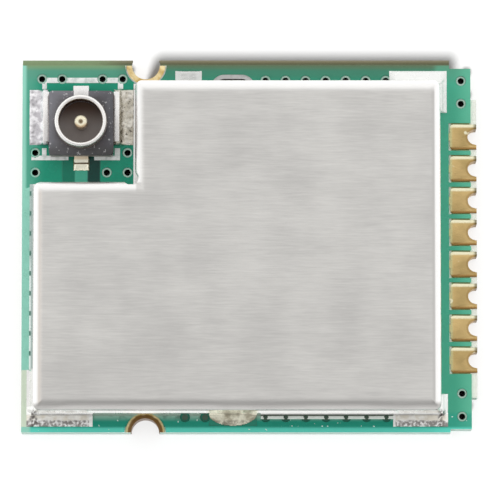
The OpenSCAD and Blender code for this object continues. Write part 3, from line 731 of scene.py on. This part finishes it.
def cell_solid(areas, bare, floor, height):
    """Solid over the grid cells of areas. height(x, y, depth) is its top, depth the steps from its rim."""
    bm = bmesh.new()
    cells = cells_in(areas, bare)
    corners = {(i + a, j + b) for i, j in cells for a in (0, 1) for b in (0, 1)}
    depth = {}
    ring = {(i, j) for i, j in corners
            if not all((i - a, j - b) in cells for a in (0, 1) for b in (0, 1))}
    level = 0
    while ring:
        depth.update(dict.fromkeys(ring, level))
        level += 1
        beside = {(i + a, j + b) for i, j in ring for a in (-1, 0, 1) for b in (-1, 0, 1)}
        ring = (beside & corners) - depth.keys()
    foot = {}
    head = {}
    for i, j in sorted(corners):
        x, y = i * cell, j * cell
        foot[i, j] = bm.verts.new((x * MM, y * MM, (floor - sink) * MM))
        head[i, j] = bm.verts.new((x * MM, y * MM, height(x, y, depth[i, j]) * MM))
    for i, j in sorted(cells):
        square = [(i, j), (i + 1, j), (i + 1, j + 1), (i, j + 1)]
        bm.faces.new([head[c] for c in square])
        bm.faces.new([foot[c] for c in square[::-1]])
        for k, beyond in enumerate(((i, j - 1), (i + 1, j), (i, j + 1), (i - 1, j))):
            if beyond not in cells:
                a, b = square[k], square[(k + 1) % 4]
                bm.faces.new((foot[a], foot[b], head[b], head[a]))
    return bm


def printed(x0, x1, y0, y1):
    """A printed line between two points of the receptacle's own frame, as a rectangle of its width."""
    return (coax.x + min(x0, x1) - ink_w / 2, coax.x + max(x0, x1) + ink_w / 2,
            coax.y + min(y0, y1) - ink_w / 2, coax.y + max(y0, y1) + ink_w / 2)


def ink_height(x, y, depth):
    """Top of the ink: thin at its rim."""
    return mask_high.z + ink_t * (0.5 if depth == 0 else 1)


back_right = outline_right + back_over
lines = [
    printed(outline_left, back_right, outline_back, outline_back),
    printed(outline_left - front_over, front_break[0], outline_front, outline_front),
    printed(front_break[1], outline_right, outline_front, outline_front),
]
for x in (outline_left, back_right):
    lines.append(printed(x, x, outline_back, outline_back - back_return))
for x in (outline_left, outline_right):
    lines.append(printed(x, x, outline_front, outline_front + front_return))
bare_holes = [(x, y, hole_clear) for x, y in via_places]
bm = cell_solid(lines, bare_holes, mask_high.z, ink_height)

ink = Finish("white_ink", {"Specular IOR Level": 0.3})
ink_thin = rising(ink.grain(5.0, 4.0), 0.42, 0.72)
ink_finish = ink.coat(
    printing.white, [(ink_thin * 0.5, printing.worn)],
    Roughness=ink.grain(12.0) * 0.2 + 0.5,
    Normal=relief(ink.grain(14.0), 0.02))
fit(form(bm, "printed_outline"), "pale_ceramic", finish=ink_finish)

# Radio circuit
# Leadless chips in black moulding compound, a crystal in a ceramic case with a welded lid, and
# small ceramic chip parts with tinned ends, all reflow soldered to their lands under the can.


def moulded(name, colour, mottle, roughness):
    """Finish of a moulded or fired part: a little mottled, with a fine matte grain."""
    part = Finish(name, {"Specular IOR Level": 0.4})
    return part.coat(
        colour, [(part.grain(4.0), mottle)],
        Roughness=part.grain(20.0) * 0.2 + roughness,
        Normal=relief(part.grain(45.0), 0.006))


circuit = palette(
    chip=(48, 48, 51), chip_dark=(40, 40, 42), case=(212, 209, 196), case_dark=(190, 186, 172),
    white=(222, 224, 226), white_dark=(200, 202, 206), tan=(180, 154, 122), tan_dark=(160, 132, 100))
chip_black = moulded("chip_moulding", circuit.chip, circuit.chip_dark, 0.5)
for node in ("transceiver_chip", "amplifier_chip", "resistors"):
    dress(node, chip_black)
dress("crystal", moulded("crystal_case", circuit.case, circuit.case_dark, 0.3))
dress("inductors", moulded("white_ceramic", circuit.white, circuit.white_dark, 0.35))
dress("capacitors", moulded("tan_ceramic", circuit.tan, circuit.tan_dark, 0.4))

# Shield can
# One blank of nickel silver sheet, brushed along its length and folded down all round, with open
# seams at the upright corners and a punched relief in the notch's inside corner. Two legs go
# through the board, and its foot is soldered to the ground land.

sheet_t = 0.2
bend_r = 0.42
bend_steps = 12
corner_r = 0.26
corner_steps = 6
least_r = 0.0001
top_rim = 0.06
wall_lean = 0.12
relief_r = 0.3
relief_turns = 24
seam_w = 0.05
leg_w = 0.8
leg_into_wall = 0.1
tool_over = 0.5
sheet = palette(
    light=(232, 230, 226), dark=(211, 209, 206), dull=(196, 194, 191), shade=(160, 158, 155),
    warm=(216, 208, 200), white=(252, 251, 249))

seat = span("connector_base")[0].z

# Each corner of the plan: its place, which way the sheet lies from it, the angle at which its round
# starts and how far it turns
can_corners = [
    (can_low.x, can_low.y, 1, 1, 180, 90),
    (can_high.x, can_low.y, -1, 1, 270, 90),
    (can_high.x, can_high.y, -1, -1, 0, 90),
    (notch_x, can_high.y, 1, -1, 90, 90),
    (notch_x, notch_y, 1, -1, 180, 0),
    (can_low.x, notch_y, 1, -1, 90, 90),
]


def can_outline(inset):
    """The can's L-shaped plan, drawn in by an inset, with rounded outer corners."""
    points = []
    for x, y, in_x, in_y, start, turn in can_corners:
        radius = max(corner_r - inset, 0.0) if turn else 0.0
        middle = (x + in_x * (inset + radius), y + in_y * (inset + radius))
        points += arc(middle, max(radius, least_r), start, start + turn, corner_steps)
    return points


def can_skin(bm, drawn_in):
    """One skin of the can, drawn in from the outside: walls, bend and closed top. Returns its foot."""
    crown = can_high.z - drawn_in
    radius = bend_r - drawn_in
    bends = [math.radians(90 * i / bend_steps) for i in range(bend_steps + 1)]
    levels = [(drawn_in + wall_lean, seat)]
    levels += [(drawn_in + radius * (1 - math.cos(t)), crown - radius * (1 - math.sin(t))) for t in bends]
    levels.append((drawn_in + radius + top_rim, crown))
    rings = []
    for inset, z in levels:
        rings.append([bm.verts.new((x * MM, y * MM, z * MM)) for x, y in can_outline(inset)])
    for below, above in zip(rings, rings[1:]):
        for i in range(len(below)):
            bm.faces.new((below[i - 1], below[i], above[i], above[i - 1]))
    bm.faces.new(rings[-1])
    return rings[0]


def carve(piece, tool):
    """Cuts a tool's shape out of a piece."""
    cut = piece.modifiers.new("cut", "BOOLEAN")
    cut.operation = "DIFFERENCE"
    cut.solver = "EXACT"
    cut.object = tool
    settle(piece)
    bpy.data.objects.remove(tool)


bm = bmesh.new()
outer_foot = can_skin(bm, 0.0)
inner_foot = can_skin(bm, sheet_t)
for i in range(len(outer_foot)):
    bm.faces.new((outer_foot[i - 1], outer_foot[i], inner_foot[i], inner_foot[i - 1]))
bmesh.ops.remove_doubles(bm, verts=bm.verts, dist=1e-8)
can = form(bm, "folded_can")

bm = bmesh.new()
cut_low = seat - tool_over
relief_middle = (notch_x - relief_r / 2, notch_y + relief_r / 2)
slab(bm, circle(relief_middle, relief_r, relief_turns), cut_low, can_high.z + tool_over)
mitre = seam_w / 2 * math.sqrt(0.5)
reach = 2 * corner_r
for x, y, in_x, in_y, start, turn in can_corners:
    if turn:
        slope = 1 if (x == can_low.x) == (y == can_low.y) else -1
        seam = [(-reach + mitre, -reach - mitre), (reach + mitre, reach - mitre),
                (reach - mitre, reach + mitre), (-reach - mitre, -reach + mitre)]
        slab(bm, [(x + u, y + slope * v) for u, v in seam][::slope], cut_low, can_high.z - bend_r)
carve(can, form(bm, "punch"))

leg_low, leg_high = span("leg_slot_plating")
leg_x = (leg_low.x + leg_high.x) / 2
bm = bmesh.new()
bm.from_mesh(can.data)
for wall in (can_low.y, can_high.y - sheet_t):
    leg = rectangle(leg_x - leg_w / 2, leg_x + leg_w / 2, wall, wall + sheet_t)
    slab(bm, leg, can_low.z, seat + leg_into_wall)
can.data = mesh_of(bm, "folded_can", 30)

brushed = Finish("brushed_sheet", {"Metallic": 1.0})
brush = brushed.grain(13.0, 3.0, (0.09, 1, 1)) * 0.6 + brushed.grain(6.0, 3.0, (0.13, 1, 1)) * 0.4
sheen = brushed.grain(0.45)
dents = brushed.grain(0.9, 2.0, (0.35, 1, 1))
# The front bend is painted duller, with a wavy dark line of painted shade along it.
fold = brushed.y - can_low.y + dents * 0.36
front_bend = falling(fold, 0.36, 0.56)
painted_bend_shade = front_bend * rising(fold, 0.2, 0.3)
from_left = brushed.x - can_low.x
from_right = can_high.x - brushed.x
left_part = falling(brushed.x - notch_x, 0.0, 0.1)
back_part = rising(brushed.y - notch_y, -0.1, 0.0)
# The bends are painted: white highlights along the left, right and back bends and round the notch, with a
# warm band inside the left one and a dull band inside the right one.
sheet_finish = brushed.coat(sheet.light, [
    (rising(brush * 0.5 + sheen * 0.5, 0.3, 0.7), sheet.dark),
    (falling(from_left, 0.2, 0.42), sheet.warm),
    (falling(from_left, 0.14, 0.26), sheet.white),
    (falling(from_right, 0.28, 0.42), sheet.dull),
    (falling(from_right, 0.2, 0.28), sheet.white),
    (front_bend, sheet.dull),
    (falling(can_high.y - brushed.y, 0.2, 0.56), sheet.white),
    (left_part * falling(notch_y - brushed.y, 0.2, 0.5), sheet.white),
    (back_part * falling(brushed.x - notch_x, 0.14, 0.36), sheet.white),
    (painted_bend_shade * rising(dents, 0.4, 0.65) * 0.4, sheet.shade),
], Roughness=brush * 0.1 + 0.3, Normal=relief(brush * 0.25 + dents, 0.02))
fit(can, "shield_sheet", "shield_can", finish=sheet_finish)

# Solder of the can
# Tin solder, reflowed under the can's foot and heaped by hand at three corners and over the front
# leg. It climbs the walls where it wetted them, smooth at the back and grainy at the front.

wall_land_in = 0.35
wall_land_out = 0.1
wide_land_out = 0.22
front_land_out = 0.02
corner_land_out = 0.31
mound_half = 0.95
mound_out = 0.5
past_mound = 1.1
back_land_half = 0.515
back_land_off = 1.69
back_corner_l = 1.96
back_corner_w = 1.07
front_corner_l = 1.84
front_corner_w = 0.77
plain_corner_w = 2.29
foot_climb = 0.125
foot_reach = 0.14
side_climb = 0.3
side_reach = 0.5
film = 0.055
film_blunt = 0.3
rim_rise = (0.4, 0.7, 0.9)
heap_foot = 0.05
via_clear = 0.15
plug_clear = 0.09
solder = palette(
    pale=(240, 239, 236), grey=(212, 211, 209), dull=(210, 212, 209), dark=(104, 99, 94),
    heap=(255, 253, 246), heap_cream=(238, 232, 218), heap_end=(255, 255, 252), crystal=(250, 250, 250),
    crystal_grey=(200, 198, 198), mound=(244, 240, 214), mound_brown=(150, 142, 112),
    dash=(238, 247, 240), groove=(72, 92, 78), film=(170, 192, 186), film_edge=(232, 244, 240),
    film_dot=(84, 128, 114), fillet=(254, 254, 251), back=(236, 237, 234), arm=(252, 252, 250),
    seam=(104, 98, 94))

front_leg_land = (leg_x - mound_half, leg_x + mound_half, can_low.y - mound_out, can_low.y + sheet_t)
back_land_x = terminal_x + back_land_off
back_land = (back_land_x - back_land_half, back_land_x + back_land_half, can_high.y - sheet_t, foil_high.y)
land_right = can_high.x + corner_land_out
back_corner = (can_high.x - back_corner_l, land_right, can_high.y - back_corner_w, foil_high.y)
front_corner = (can_high.x - front_corner_l, land_right, foil_low.y, can_low.y + front_corner_w)
plain_corner = (foil_low.x, can_low.x + plain_corner_w, foil_low.y, can_low.y + plain_corner_l)

# Each heap: its land, how far it climbs the wall, how far out that reaches, how grainy it is and how
# long its ends are
heaps = [
    (back_corner, 0.32, 0.7, 0.006, 0.22),
    (front_corner, 0.06, 0.12, 0.02, 0.22),
    (plain_corner, 0.06, 0.12, 0.02, 0.22),
    (front_leg_land, 0.22, 0.46, 0.03, 0.6),
    (back_land, 0.03, 0.5, 0.01, 0.22),
]
strips = [
    (can_low.x - wide_land_out, can_low.x + wall_land_in, can_low.y, notch_y + wall_land_out),
    (can_low.x, coax.x - feed_corridor, notch_y - wall_land_in, notch_y + wall_land_out),
    (coax.x + feed_corridor, notch_x + wall_land_in, notch_y - wall_land_in, notch_y + wall_land_out),
    (notch_x - wall_land_out, notch_x + wall_land_in, notch_y - wall_land_in, can_high.y + wall_land_out),
    (notch_x, can_high.x, can_high.y - wall_land_in, can_high.y + wall_land_out),
    (can_low.x, can_high.x, can_low.y - front_land_out, can_low.y + wall_land_in),
    (leg_x + past_mound, can_high.x, can_low.y - wide_land_out, can_low.y),
]


def arms(land):
    """The part of a corner's land that lies by the walls and outside them, as two rectangles."""
    x0, x1, y0, y1 = land
    left = x0 < can_low.x
    front = y0 < can_low.y
    x_in = can_low.x + wall_land_in if left else can_high.x - wall_land_in
    y_in = can_low.y + wall_land_in if front else can_high.y - wall_land_in
    along_x = (x0, x1, y0, y_in) if front else (x0, x1, y_in, y1)
    along_y = (x0, x_in, y0, y1) if left else (x_in, x1, y0, y1)
    return [along_x, along_y]


def lump(x, y, scale, level):
    """Noise of about -1 to 1 at a place, with so many lumps in a millimetre, cut at a level."""
    return noise.noise(Vector((x * scale, y * scale, level)))


def rim_share(depth):
    """How much of its height the solder has so many steps in from its rim."""
    return rim_rise[depth] if depth < len(rim_rise) else 1.0


def can_solder(x, y, depth):
    """Top of the solder: a film, heaped by the walls of the hand-soldered lands."""
    aside = max(can_low.x + wall_lean - x, x - can_high.x + wall_lean, 0.0)
    ahead = max(can_low.y + wall_lean - y, y - can_high.y + wall_lean, 0.0)
    gap = math.hypot(aside, ahead)
    rise = foot_climb * max(0.0, 1 - gap / foot_reach) if gap else 0.0
    heap = 0.0
    for (x0, x1, y0, y1), climb, out, grainy, end_fall in heaps:
        if x0 <= x <= x1 and y0 <= y <= y1:
            if aside > ahead:
                climb, out = side_climb, side_reach
            ends = min(1.0, (x - x0) / end_fall, (x1 - x) / end_fall)
            lumps = lump(x, y, 4, 1.7) + 0.4 * lump(x, y, 9, 4.1)
            heaped = climb * max(0.0, 1 - gap / out) + heap_foot + grainy * lumps
            heap = max(heap, heaped * ends)
    share = rim_share(depth)
    return foil_high.z + share ** film_blunt * film + share * heap + rise


areas = strips + [back_land]
for i in range(math.ceil(mound_out / cell)):
    out_share = min(1.0, (i + 0.5) * cell / mound_out)
    half = mound_half * (1 - out_share ** 2) ** 0.5
    slice_y = can_low.y - i * cell
    areas.append((leg_x - half, leg_x + half, slice_y - cell, slice_y))
for land in (back_corner, front_corner, plain_corner):
    areas += arms(land)
open_holes = [(x, y, plug_clear if (x, y) in covered else via_clear)
              for x, y in via_places if x > can_low.x]
bm = cell_solid(areas, open_holes, foil_high.z, can_solder)

frosted = Finish("tin_solder", {})
frost = frosted.grain(3.0, 4.0)
crystals = frosted.grain(9.0)
left_x = frosted.x - can_low.x
right_x = frosted.x - can_high.x
front_y = frosted.y - can_low.y
can_half = (can_high.x - can_low.x) / 2
past_side = abs(left_x - can_half) - can_half
at_front = falling(frosted.y, -1.0, 1.0)
on_heap = at_front * falling(front_y, -0.12, -0.04)
off_wall = at_front * falling(front_y + frost * 0.1, -0.28, -0.2)
seams = falling(abs(past_side - 0.04) + frost * 0.7, 0.36, 0.56) * at_front * falling(front_y, -0.05, 0.25)
back_heap = (1 - at_front) * rising(frosted.x - back_corner[0], -0.05, 0.0)
right_arm = rising(right_x, -0.08, -0.02) * rising(front_y, 0.0, 0.15)
plain_end = frosted.x - plain_corner[1]
front_end = frosted.x - front_corner[0]
heap_ends = close_to(plain_end, -0.06, 0.05, 0.1) + close_to(front_end, 0.03, 0.03, 0.07)
on_leg = at_front * close_to(frosted.x, leg_x, 0.9, 1.1)
off_leg = 1 - on_leg
off_heap = at_front * rising(plain_end, -0.02, 0.0) * falling(front_end, 0.0, 0.02) * off_leg
left_film = falling(left_x, -0.12, -0.05) * rising(front_y - plain_corner_l, 0.0, 0.1)
left_edge = left_film * falling(left_x, -0.17, -0.13)
left_vias = sorted(y for x, y in covered if x < can_low.x)
left_turn = (frosted.y - left_vias[0]) / (left_vias[1] - left_vias[0])
off_via = abs(left_turn - left_turn.math("ROUND"))
flux = rising(crystals + frost * 0.5, 0.66, 0.82) * off_wall
on_back_land = rising(frosted.y, 1.0, 2.0) * close_to(frosted.x, back_land_x, 0.6, 0.7)
pale_heap = back_heap.math("MAXIMUM", right_arm)
solder_finish = frosted.coat(solder.pale, [
    (frost * 0.6, solder.grey),
    (on_back_land * 0.8, solder.dull),
    (on_heap, blend(rising(frost, 0.4, 0.6), solder.heap, solder.heap_cream)),
    (off_wall * 0.8, blend(rising(crystals, 0.36, 0.5), solder.crystal, solder.crystal_grey)),
    (on_leg * 0.8, blend(rising(frost, 0.35, 0.65), solder.mound, solder.mound_brown)),
    (flux * (1 - on_leg * 0.5) * 0.7, solder.dark),
    # In front of the can the film's outer edge gets a painted highlight, with a line of painted shade
    # between it and the wall.
    (off_heap * falling(front_y, -0.13, -0.1) * 0.9, solder.dash),
    (off_heap * band(front_y, -0.13, -0.1, -0.05, -0.03) * 0.9, solder.groove),
    (left_film * 0.9, solder.film),
    (left_edge * falling(frosted.y, -1.2, 0.0), solder.film_edge),
    (left_edge * falling(off_via, 0.08, 0.16), solder.film_dot),
    (band(front_y, -0.06, -0.03, 0.2, 0.3) * off_leg, solder.fillet),
    (back_heap, solder.back),
    (right_arm * at_front, solder.arm),
    (heap_ends * on_heap, solder.heap_end),
    (seams * rising(crystals, 0.35, 0.6), solder.seam),
], Metallic=1 - (on_heap * 0.8).math("MAXIMUM", pale_heap * 0.8).math("MAXIMUM", left_film * 0.6),
   Roughness=on_heap * crystals * 0.3 + frost * 0.15 + 0.2,
   Normal=relief(frost * 0.3 + crystals * (on_heap + 0.03), 0.025))
fit(form(bm, "can_solder_joint", 60), "solder", "shield_solder", finish=solder_finish)

# Receptacle base
# Black liquid crystal polymer, moulded round the two contacts, with a round well inside the ring
# and a small bevel along its top edges.

base_corner_r = 0.12
base_bevel = 0.05
floor_rise = 0.32
ring_r = 1.025
ring_wall = 0.16
well_turns = 60
mould = palette(
    light=(126, 126, 132), dark=(82, 81, 86), foot=(58, 56, 54), well=(150, 142, 138),
    well_back=(84, 60, 46), dust=(206, 206, 208))

base_low, base_high = span("connector_base")
axis = (coax.x, coax.y)
inner_r = ring_r - ring_wall
base_outline = []
for x, y, start in ((base_high.x, base_high.y, 0), (base_low.x, base_high.y, 90),
                    (base_low.x, base_low.y, 180), (base_high.x, base_low.y, 270)):
    middle = (x - math.copysign(base_corner_r, x - coax.x), y - math.copysign(base_corner_r, y - coax.y))
    base_outline += arc(middle, base_corner_r, start, start + 90, fillet_steps)
bm = bmesh.new()
slab(bm, base_outline, base_low.z, base_high.z, base_bevel)
base = form(bm, "moulded_base")
bm = bmesh.new()
slab(bm, circle(axis, inner_r, well_turns), seat + floor_rise, base_high.z + tool_over)
carve(base, form(bm, "drill"))

moulding = Finish("black_moulding", {"Specular IOR Level": 0.35})
dust = rising(moulding.grain(9.0, 2.0), 0.65, 0.71)
in_well = falling(moulding.z - seat - floor_rise, 0.01, 0.05)
well_back = rising(moulding.y - coax.y, -0.2, 0.75)
to_right = rising(moulding.x, base_low.x, base_high.x)
at_foot = falling(moulding.y - base_low.y, 0.1, 0.6)
mould_finish = moulding.coat(mould.light, [
    # Painted shade darkens the base towards the right and towards its front, and the well towards the
    # back.
    (moulding.grain(4.0) * 0.4 + to_right * 0.6, mould.dark),
    (at_foot * 0.7, mould.foot),
    (in_well, blend(well_back, mould.well, mould.well_back)),
    (dust * (1 - in_well) * 0.7, mould.dust),
], Roughness=moulding.grain(20.0) * 0.2 + 0.45, Normal=relief(moulding.grain(40.0), 0.008))
fit(base, "black_moulding", "connector_base", finish=mould_finish)

# Receptacle shell
# Drawn and plated copper alloy: a ring with a rolled rim and a snap groove, a wing on either side
# that is soldered to ground, and a tab folded down over the back of the base.

rim_roll = 0.079
root_flare = 0.02
groove_rise = 0.18
groove_h = 0.2
groove_depth = 0.05
contact_t = 0.1
strap_rise = 0.17
strap_w = 1.2
wing_w = 0.24
wing_l = 2.0
tab_w = 0.62
shell_turns = 72
sheet_bevel = 0.03
alloy = palette(
    white=(255, 254, 252), cream=(244, 236, 232), tan=(196, 176, 158), brown=(92, 66, 48),
    tab=(242, 240, 239))

shell_high = span("connector_shell")[1]
strap_low = seat + strap_rise
strap_high = strap_low + contact_t
groove_low = base_high.z + groove_rise
rim_z = shell_high.z - rim_roll
bm = bmesh.new()
lathe(bm, [(inner_r, strap_low), (ring_r + root_flare, strap_low), (ring_r, groove_low),
           (ring_r - groove_depth, groove_low + groove_h / 2), (ring_r, groove_low + groove_h)]
      + arc((ring_r - rim_roll, rim_z), rim_roll, 0, 90, fillet_steps)
      + arc((inner_r + rim_roll, rim_z), rim_roll, 90, 180, fillet_steps), axis, shell_turns)
lands = islands("connector_solder")
wing_y = (lands[0][0].y + lands[0][1].y) / 2
for side in (-1, 1):
    near = coax.x + side * (base_high.x - coax.x)
    far = near + side * wing_w
    inside = coax.x + side * (ring_r - ring_wall / 2)
    slab(bm, rectangle(min(near, far), max(near, far), wing_y - wing_l / 2, wing_y + wing_l / 2),
         seat, strap_high, sheet_bevel)
    slab(bm, rectangle(min(near, inside), max(near, inside), coax.y - strap_w / 2, coax.y + strap_w / 2),
         strap_low, strap_high)
tab_left, tab_right = coax.x - tab_w / 2, coax.x + tab_w / 2
tab_back = shell_high.y
slab(bm, rectangle(tab_left, tab_right, coax.y + ring_r - ring_wall / 2, tab_back),
     base_high.z - contact_t, base_high.z + sink, sheet_bevel)
slab(bm, rectangle(tab_left, tab_right, tab_back - contact_t, tab_back), seat, base_high.z - contact_t)

bright = Finish("bright_contact", {"Metallic": 0.9, "Specular IOR Level": 0.5})
bright_cloud = bright.grain(4.0)
from_axis = bright.off_axis(*axis)
under_rim = bright.z - shell_high.z
inside_ring = falling(from_axis - inner_r, 0.005, 0.03) * falling(under_rim, -0.12, -0.04)
low_on_ring = falling(bright.z, base_high.z + 0.05, shell_high.z - 0.1)
low_on_ring = low_on_ring * falling(from_axis - ring_r, 0.02, 0.04)
shell_finish = bright.coat(alloy.white, [
    (bright_cloud * 0.5, alloy.cream),
    (rising(bright.y - coax.y - ring_r, 0.0, 0.05), alloy.tab),
    # Painted shade: tan low on the ring's outer wall, and brown on its inner wall under the rim.
    (low_on_ring * 0.9, alloy.tan),
    (inside_ring, alloy.brown),
], Roughness=bright_cloud * 0.15 + 0.2, Normal=relief(bright_cloud, 0.005))
fit(form(bm, "contact_shell", 40), "bright_contact", "connector_shell", finish=shell_finish)

# Receptacle centre contact
# Gold plated copper alloy: a pin with a rounded tip that stands in the well, on a flat strip that
# leaves the base at the front as the signal terminal.

pin_r = 0.26
pin_core_r = 0.002
pin_turns = 40
tip_roll = 0.09
tip_steps = 6
tip_dimple_r = 0.09
tip_dimple = 0.1
terminal_w = 0.56
golden = palette(
    white=(255, 252, 232), cream=(255, 243, 206), end=(255, 250, 232), tan=(186, 136, 76),
    foot=(236, 218, 190), brown=(120, 88, 54))

contact_low, contact_high = span("connector_contact")
bm = bmesh.new()
lathe(bm, [(pin_core_r, seat), (pin_r, seat)]
      + arc((pin_r - tip_roll, contact_high.z - tip_roll), tip_roll, 0, 90, tip_steps)
      + [(tip_dimple_r, contact_high.z), (pin_core_r, contact_high.z - tip_dimple)], axis, pin_turns)
slab(bm, rectangle(coax.x - terminal_w / 2, coax.x + terminal_w / 2, contact_low.y, coax.y),
     seat, seat + contact_t, sheet_bevel)

pin = Finish("gold_contact", {"Metallic": 0.4})
pin_cloud = pin.grain(6.0)
from_pin = pin.off_axis(*axis)
in_dimple = falling(from_pin - tip_dimple_r, -0.03, 0.03)
low_on_pin = falling(pin.z - contact_high.z, -0.2, -0.04)
by_base = rising(pin.y - base_low.y, -0.16, -0.05)
pin_front = falling(pin.y - coax.y, -0.16, 0.0) * rising(from_pin, 0.13, 0.2) * by_base
pin_finish = pin.coat(golden.white, [
    (pin_cloud, golden.cream),
    ((1 - by_base) * 0.8, golden.end),
    # Painted shade: tan on the pin's front flank and brown in the dimple of its tip.
    (pin_front * 0.6, golden.tan),
    (low_on_pin * by_base, golden.foot),
    (in_dimple * 0.7, golden.brown),
], Roughness=pin_cloud * 0.15 + 0.18, Normal=relief(pin.grain(22.0), 0.01))
fit(form(bm, "centre_contact", 40), "gold_finish", "connector_contact", finish=pin_finish)

# Receptacle solder
# Reflowed tin on the two ground lands and the signal land, drawn up against the wings and over the
# signal terminal's end.

wing_climb = 0.22
wing_fall = 0.12
wing_near = 0.05
land_near = 0.1
terminal_climb = 0.06
land_lumps = 0.02
reflow = palette(
    white=(252, 250, 252), grey=(194, 191, 195), warm=(222, 218, 208), tan=(190, 184, 170),
    dark=(84, 78, 68), cream=(253, 249, 228), brown=(84, 64, 42))

land_areas = [(low.x, high.x, low.y, high.y) for low, high in lands]
wing_far = base_high.x - coax.x + wing_w


def receptacle_solder(x, y, depth):
    """Top of the solder: a film, drawn up by the wings and the terminal."""
    aside = abs(x - coax.x) - wing_far
    if aside > -wing_w - wing_near and y > lands[0][0].y - land_near:
        rise = wing_climb * math.exp(-max(aside, 0.0) / wing_fall)
    else:
        rise = terminal_climb * math.exp(-max(contact_low.y - y, 0.0) / wing_fall)
    return foil_high.z + rim_share(depth) * (film + rise + land_lumps * lump(x, y, 9, 8.3))


bm = cell_solid(land_areas, open_holes, foil_high.z, receptacle_solder)

reflowed = Finish("land_solder", {"Metallic": 1.0})
land_cloud = reflowed.grain(3.4, 2.0)
land_fine = reflowed.grain(7.0, 1.0)
mottle = rising(land_cloud, 0.36, 0.64)
spots = rising(land_fine + land_cloud * 0.4, 0.84, 0.92)
right_side = rising(reflowed.x - coax.x, 0.5, 0.9)
on_signal = close_to(reflowed.x, coax.x, 0.4, 0.5)
land_finish = reflowed.coat(reflow.white, [
    (mottle, reflow.grey),
    (right_side, blend(mottle, reflow.warm, reflow.tan)),
    (right_side * spots * 0.8, reflow.dark),
    (on_signal, reflow.cream),
    # A brown line of painted shadow lies at the signal terminal's front end.
    (on_signal * close_to(reflowed.y, contact_low.y, 0.03, 0.08), reflow.brown),
], Roughness=land_fine * 0.3 + 0.15,
   Normal=relief((land_cloud + land_fine * 0.5) * (1 - right_side * 0.5), 0.015))
fit(form(bm, "receptacle_solder_joint", 60), "solder", "connector_solder", finish=land_finish)

# Studio
# A white table with a lamp of its own, under a soft dome that is bright behind and beside the module
# and dim in front. Metal mirrors the dome at no more than white. The camera looks down from slightly
# in front.

table_half = 600
table_t = 20
studio = palette(table=(161, 161, 161))
photo_px = 500
px_per_mm = 25.28
camera_tilt = 6.5
camera_range = 220
sensor_mm = 36
dome_level = 1.2
overhead_drop = 0.61
behind_gain = 0.2
front_drop = 0.45
lamp_level = 7.6
lamp_width = 9
lamp_tilt = 30.3
lamp_turn = 27
aim = Vector((0.024, -0.071, 1.03))

bm = bmesh.new()
slab(bm, rectangle(-table_half, table_half, -table_half, table_half), -table_t, 0)
table = form(bm, "table")
paper = Finish("table_paper", {"Base Color": studio.table, "Roughness": 0.9, "Specular IOR Level": 0.0})
table.data.materials.append(paper.material)
table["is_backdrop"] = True

world = bpy.data.worlds.new("soft_dome")
bpy.context.scene.world = world
world.use_nodes = True
sky = world.node_tree
sky.nodes.clear()
side_y, up = axes(Wire(sky).node("ShaderNodeTexCoord", output="Generated"))[1:]
overhead = rising(up - side_y * 0.25, 0.82, 0.985)
behind = rising(side_y, 0.1, 0.5)
ahead = 0 - side_y
in_front = rising(ahead, 0.1, 0.8)
front_glow = rising(ahead, 0.92, 0.98)
level = (dome_level - overhead * overhead_drop + behind * behind_gain) * (1 - in_front * front_drop)
level = level * (1 - front_glow) + front_glow * dome_level
mirrored = level.node("ShaderNodeLightPath", output="Is Glossy Ray")
level = level - mirrored * (level - 1.0).math("MAXIMUM", 0.0)
background = level.node("ShaderNodeBackground", {"Color": (1, 1, 1, 1), "Strength": level})
out = sky.nodes.new("ShaderNodeOutputWorld")
sky.links.new(background.socket, out.inputs["Surface"])

lamp = bpy.data.lights.new("table_lamp", "SUN")
lamp.energy = lamp_level
lamp.angle = math.radians(lamp_width)
table_lamp = show(lamp, "table_lamp")
table_lamp.rotation_euler = (math.radians(lamp_tilt), 0, math.radians(-lamp_turn))
lit = bpy.data.collections.new("lit_by_table_lamp")
lit.objects.link(table)
table_lamp.light_linking.receiver_collection = lit
shading = bpy.data.collections.new("shades_the_table")
for shade in (can, vias):
    shading.objects.link(shade)
table_lamp.light_linking.blocker_collection = shading

lens = bpy.data.cameras.new("camera")
lens.sensor_width = sensor_mm
lens.lens = sensor_mm * camera_range * px_per_mm / photo_px
lens.clip_start = MM
camera = show(lens, "camera")
tilt = math.radians(camera_tilt)
camera.location = (aim + camera_range * Vector((0, -math.sin(tilt), math.cos(tilt)))) * MM
camera.rotation_euler = (tilt, 0, 0)
bpy.context.scene.camera = camera
bpy.context.scene.view_settings.view_transform = "Standard"

low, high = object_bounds()
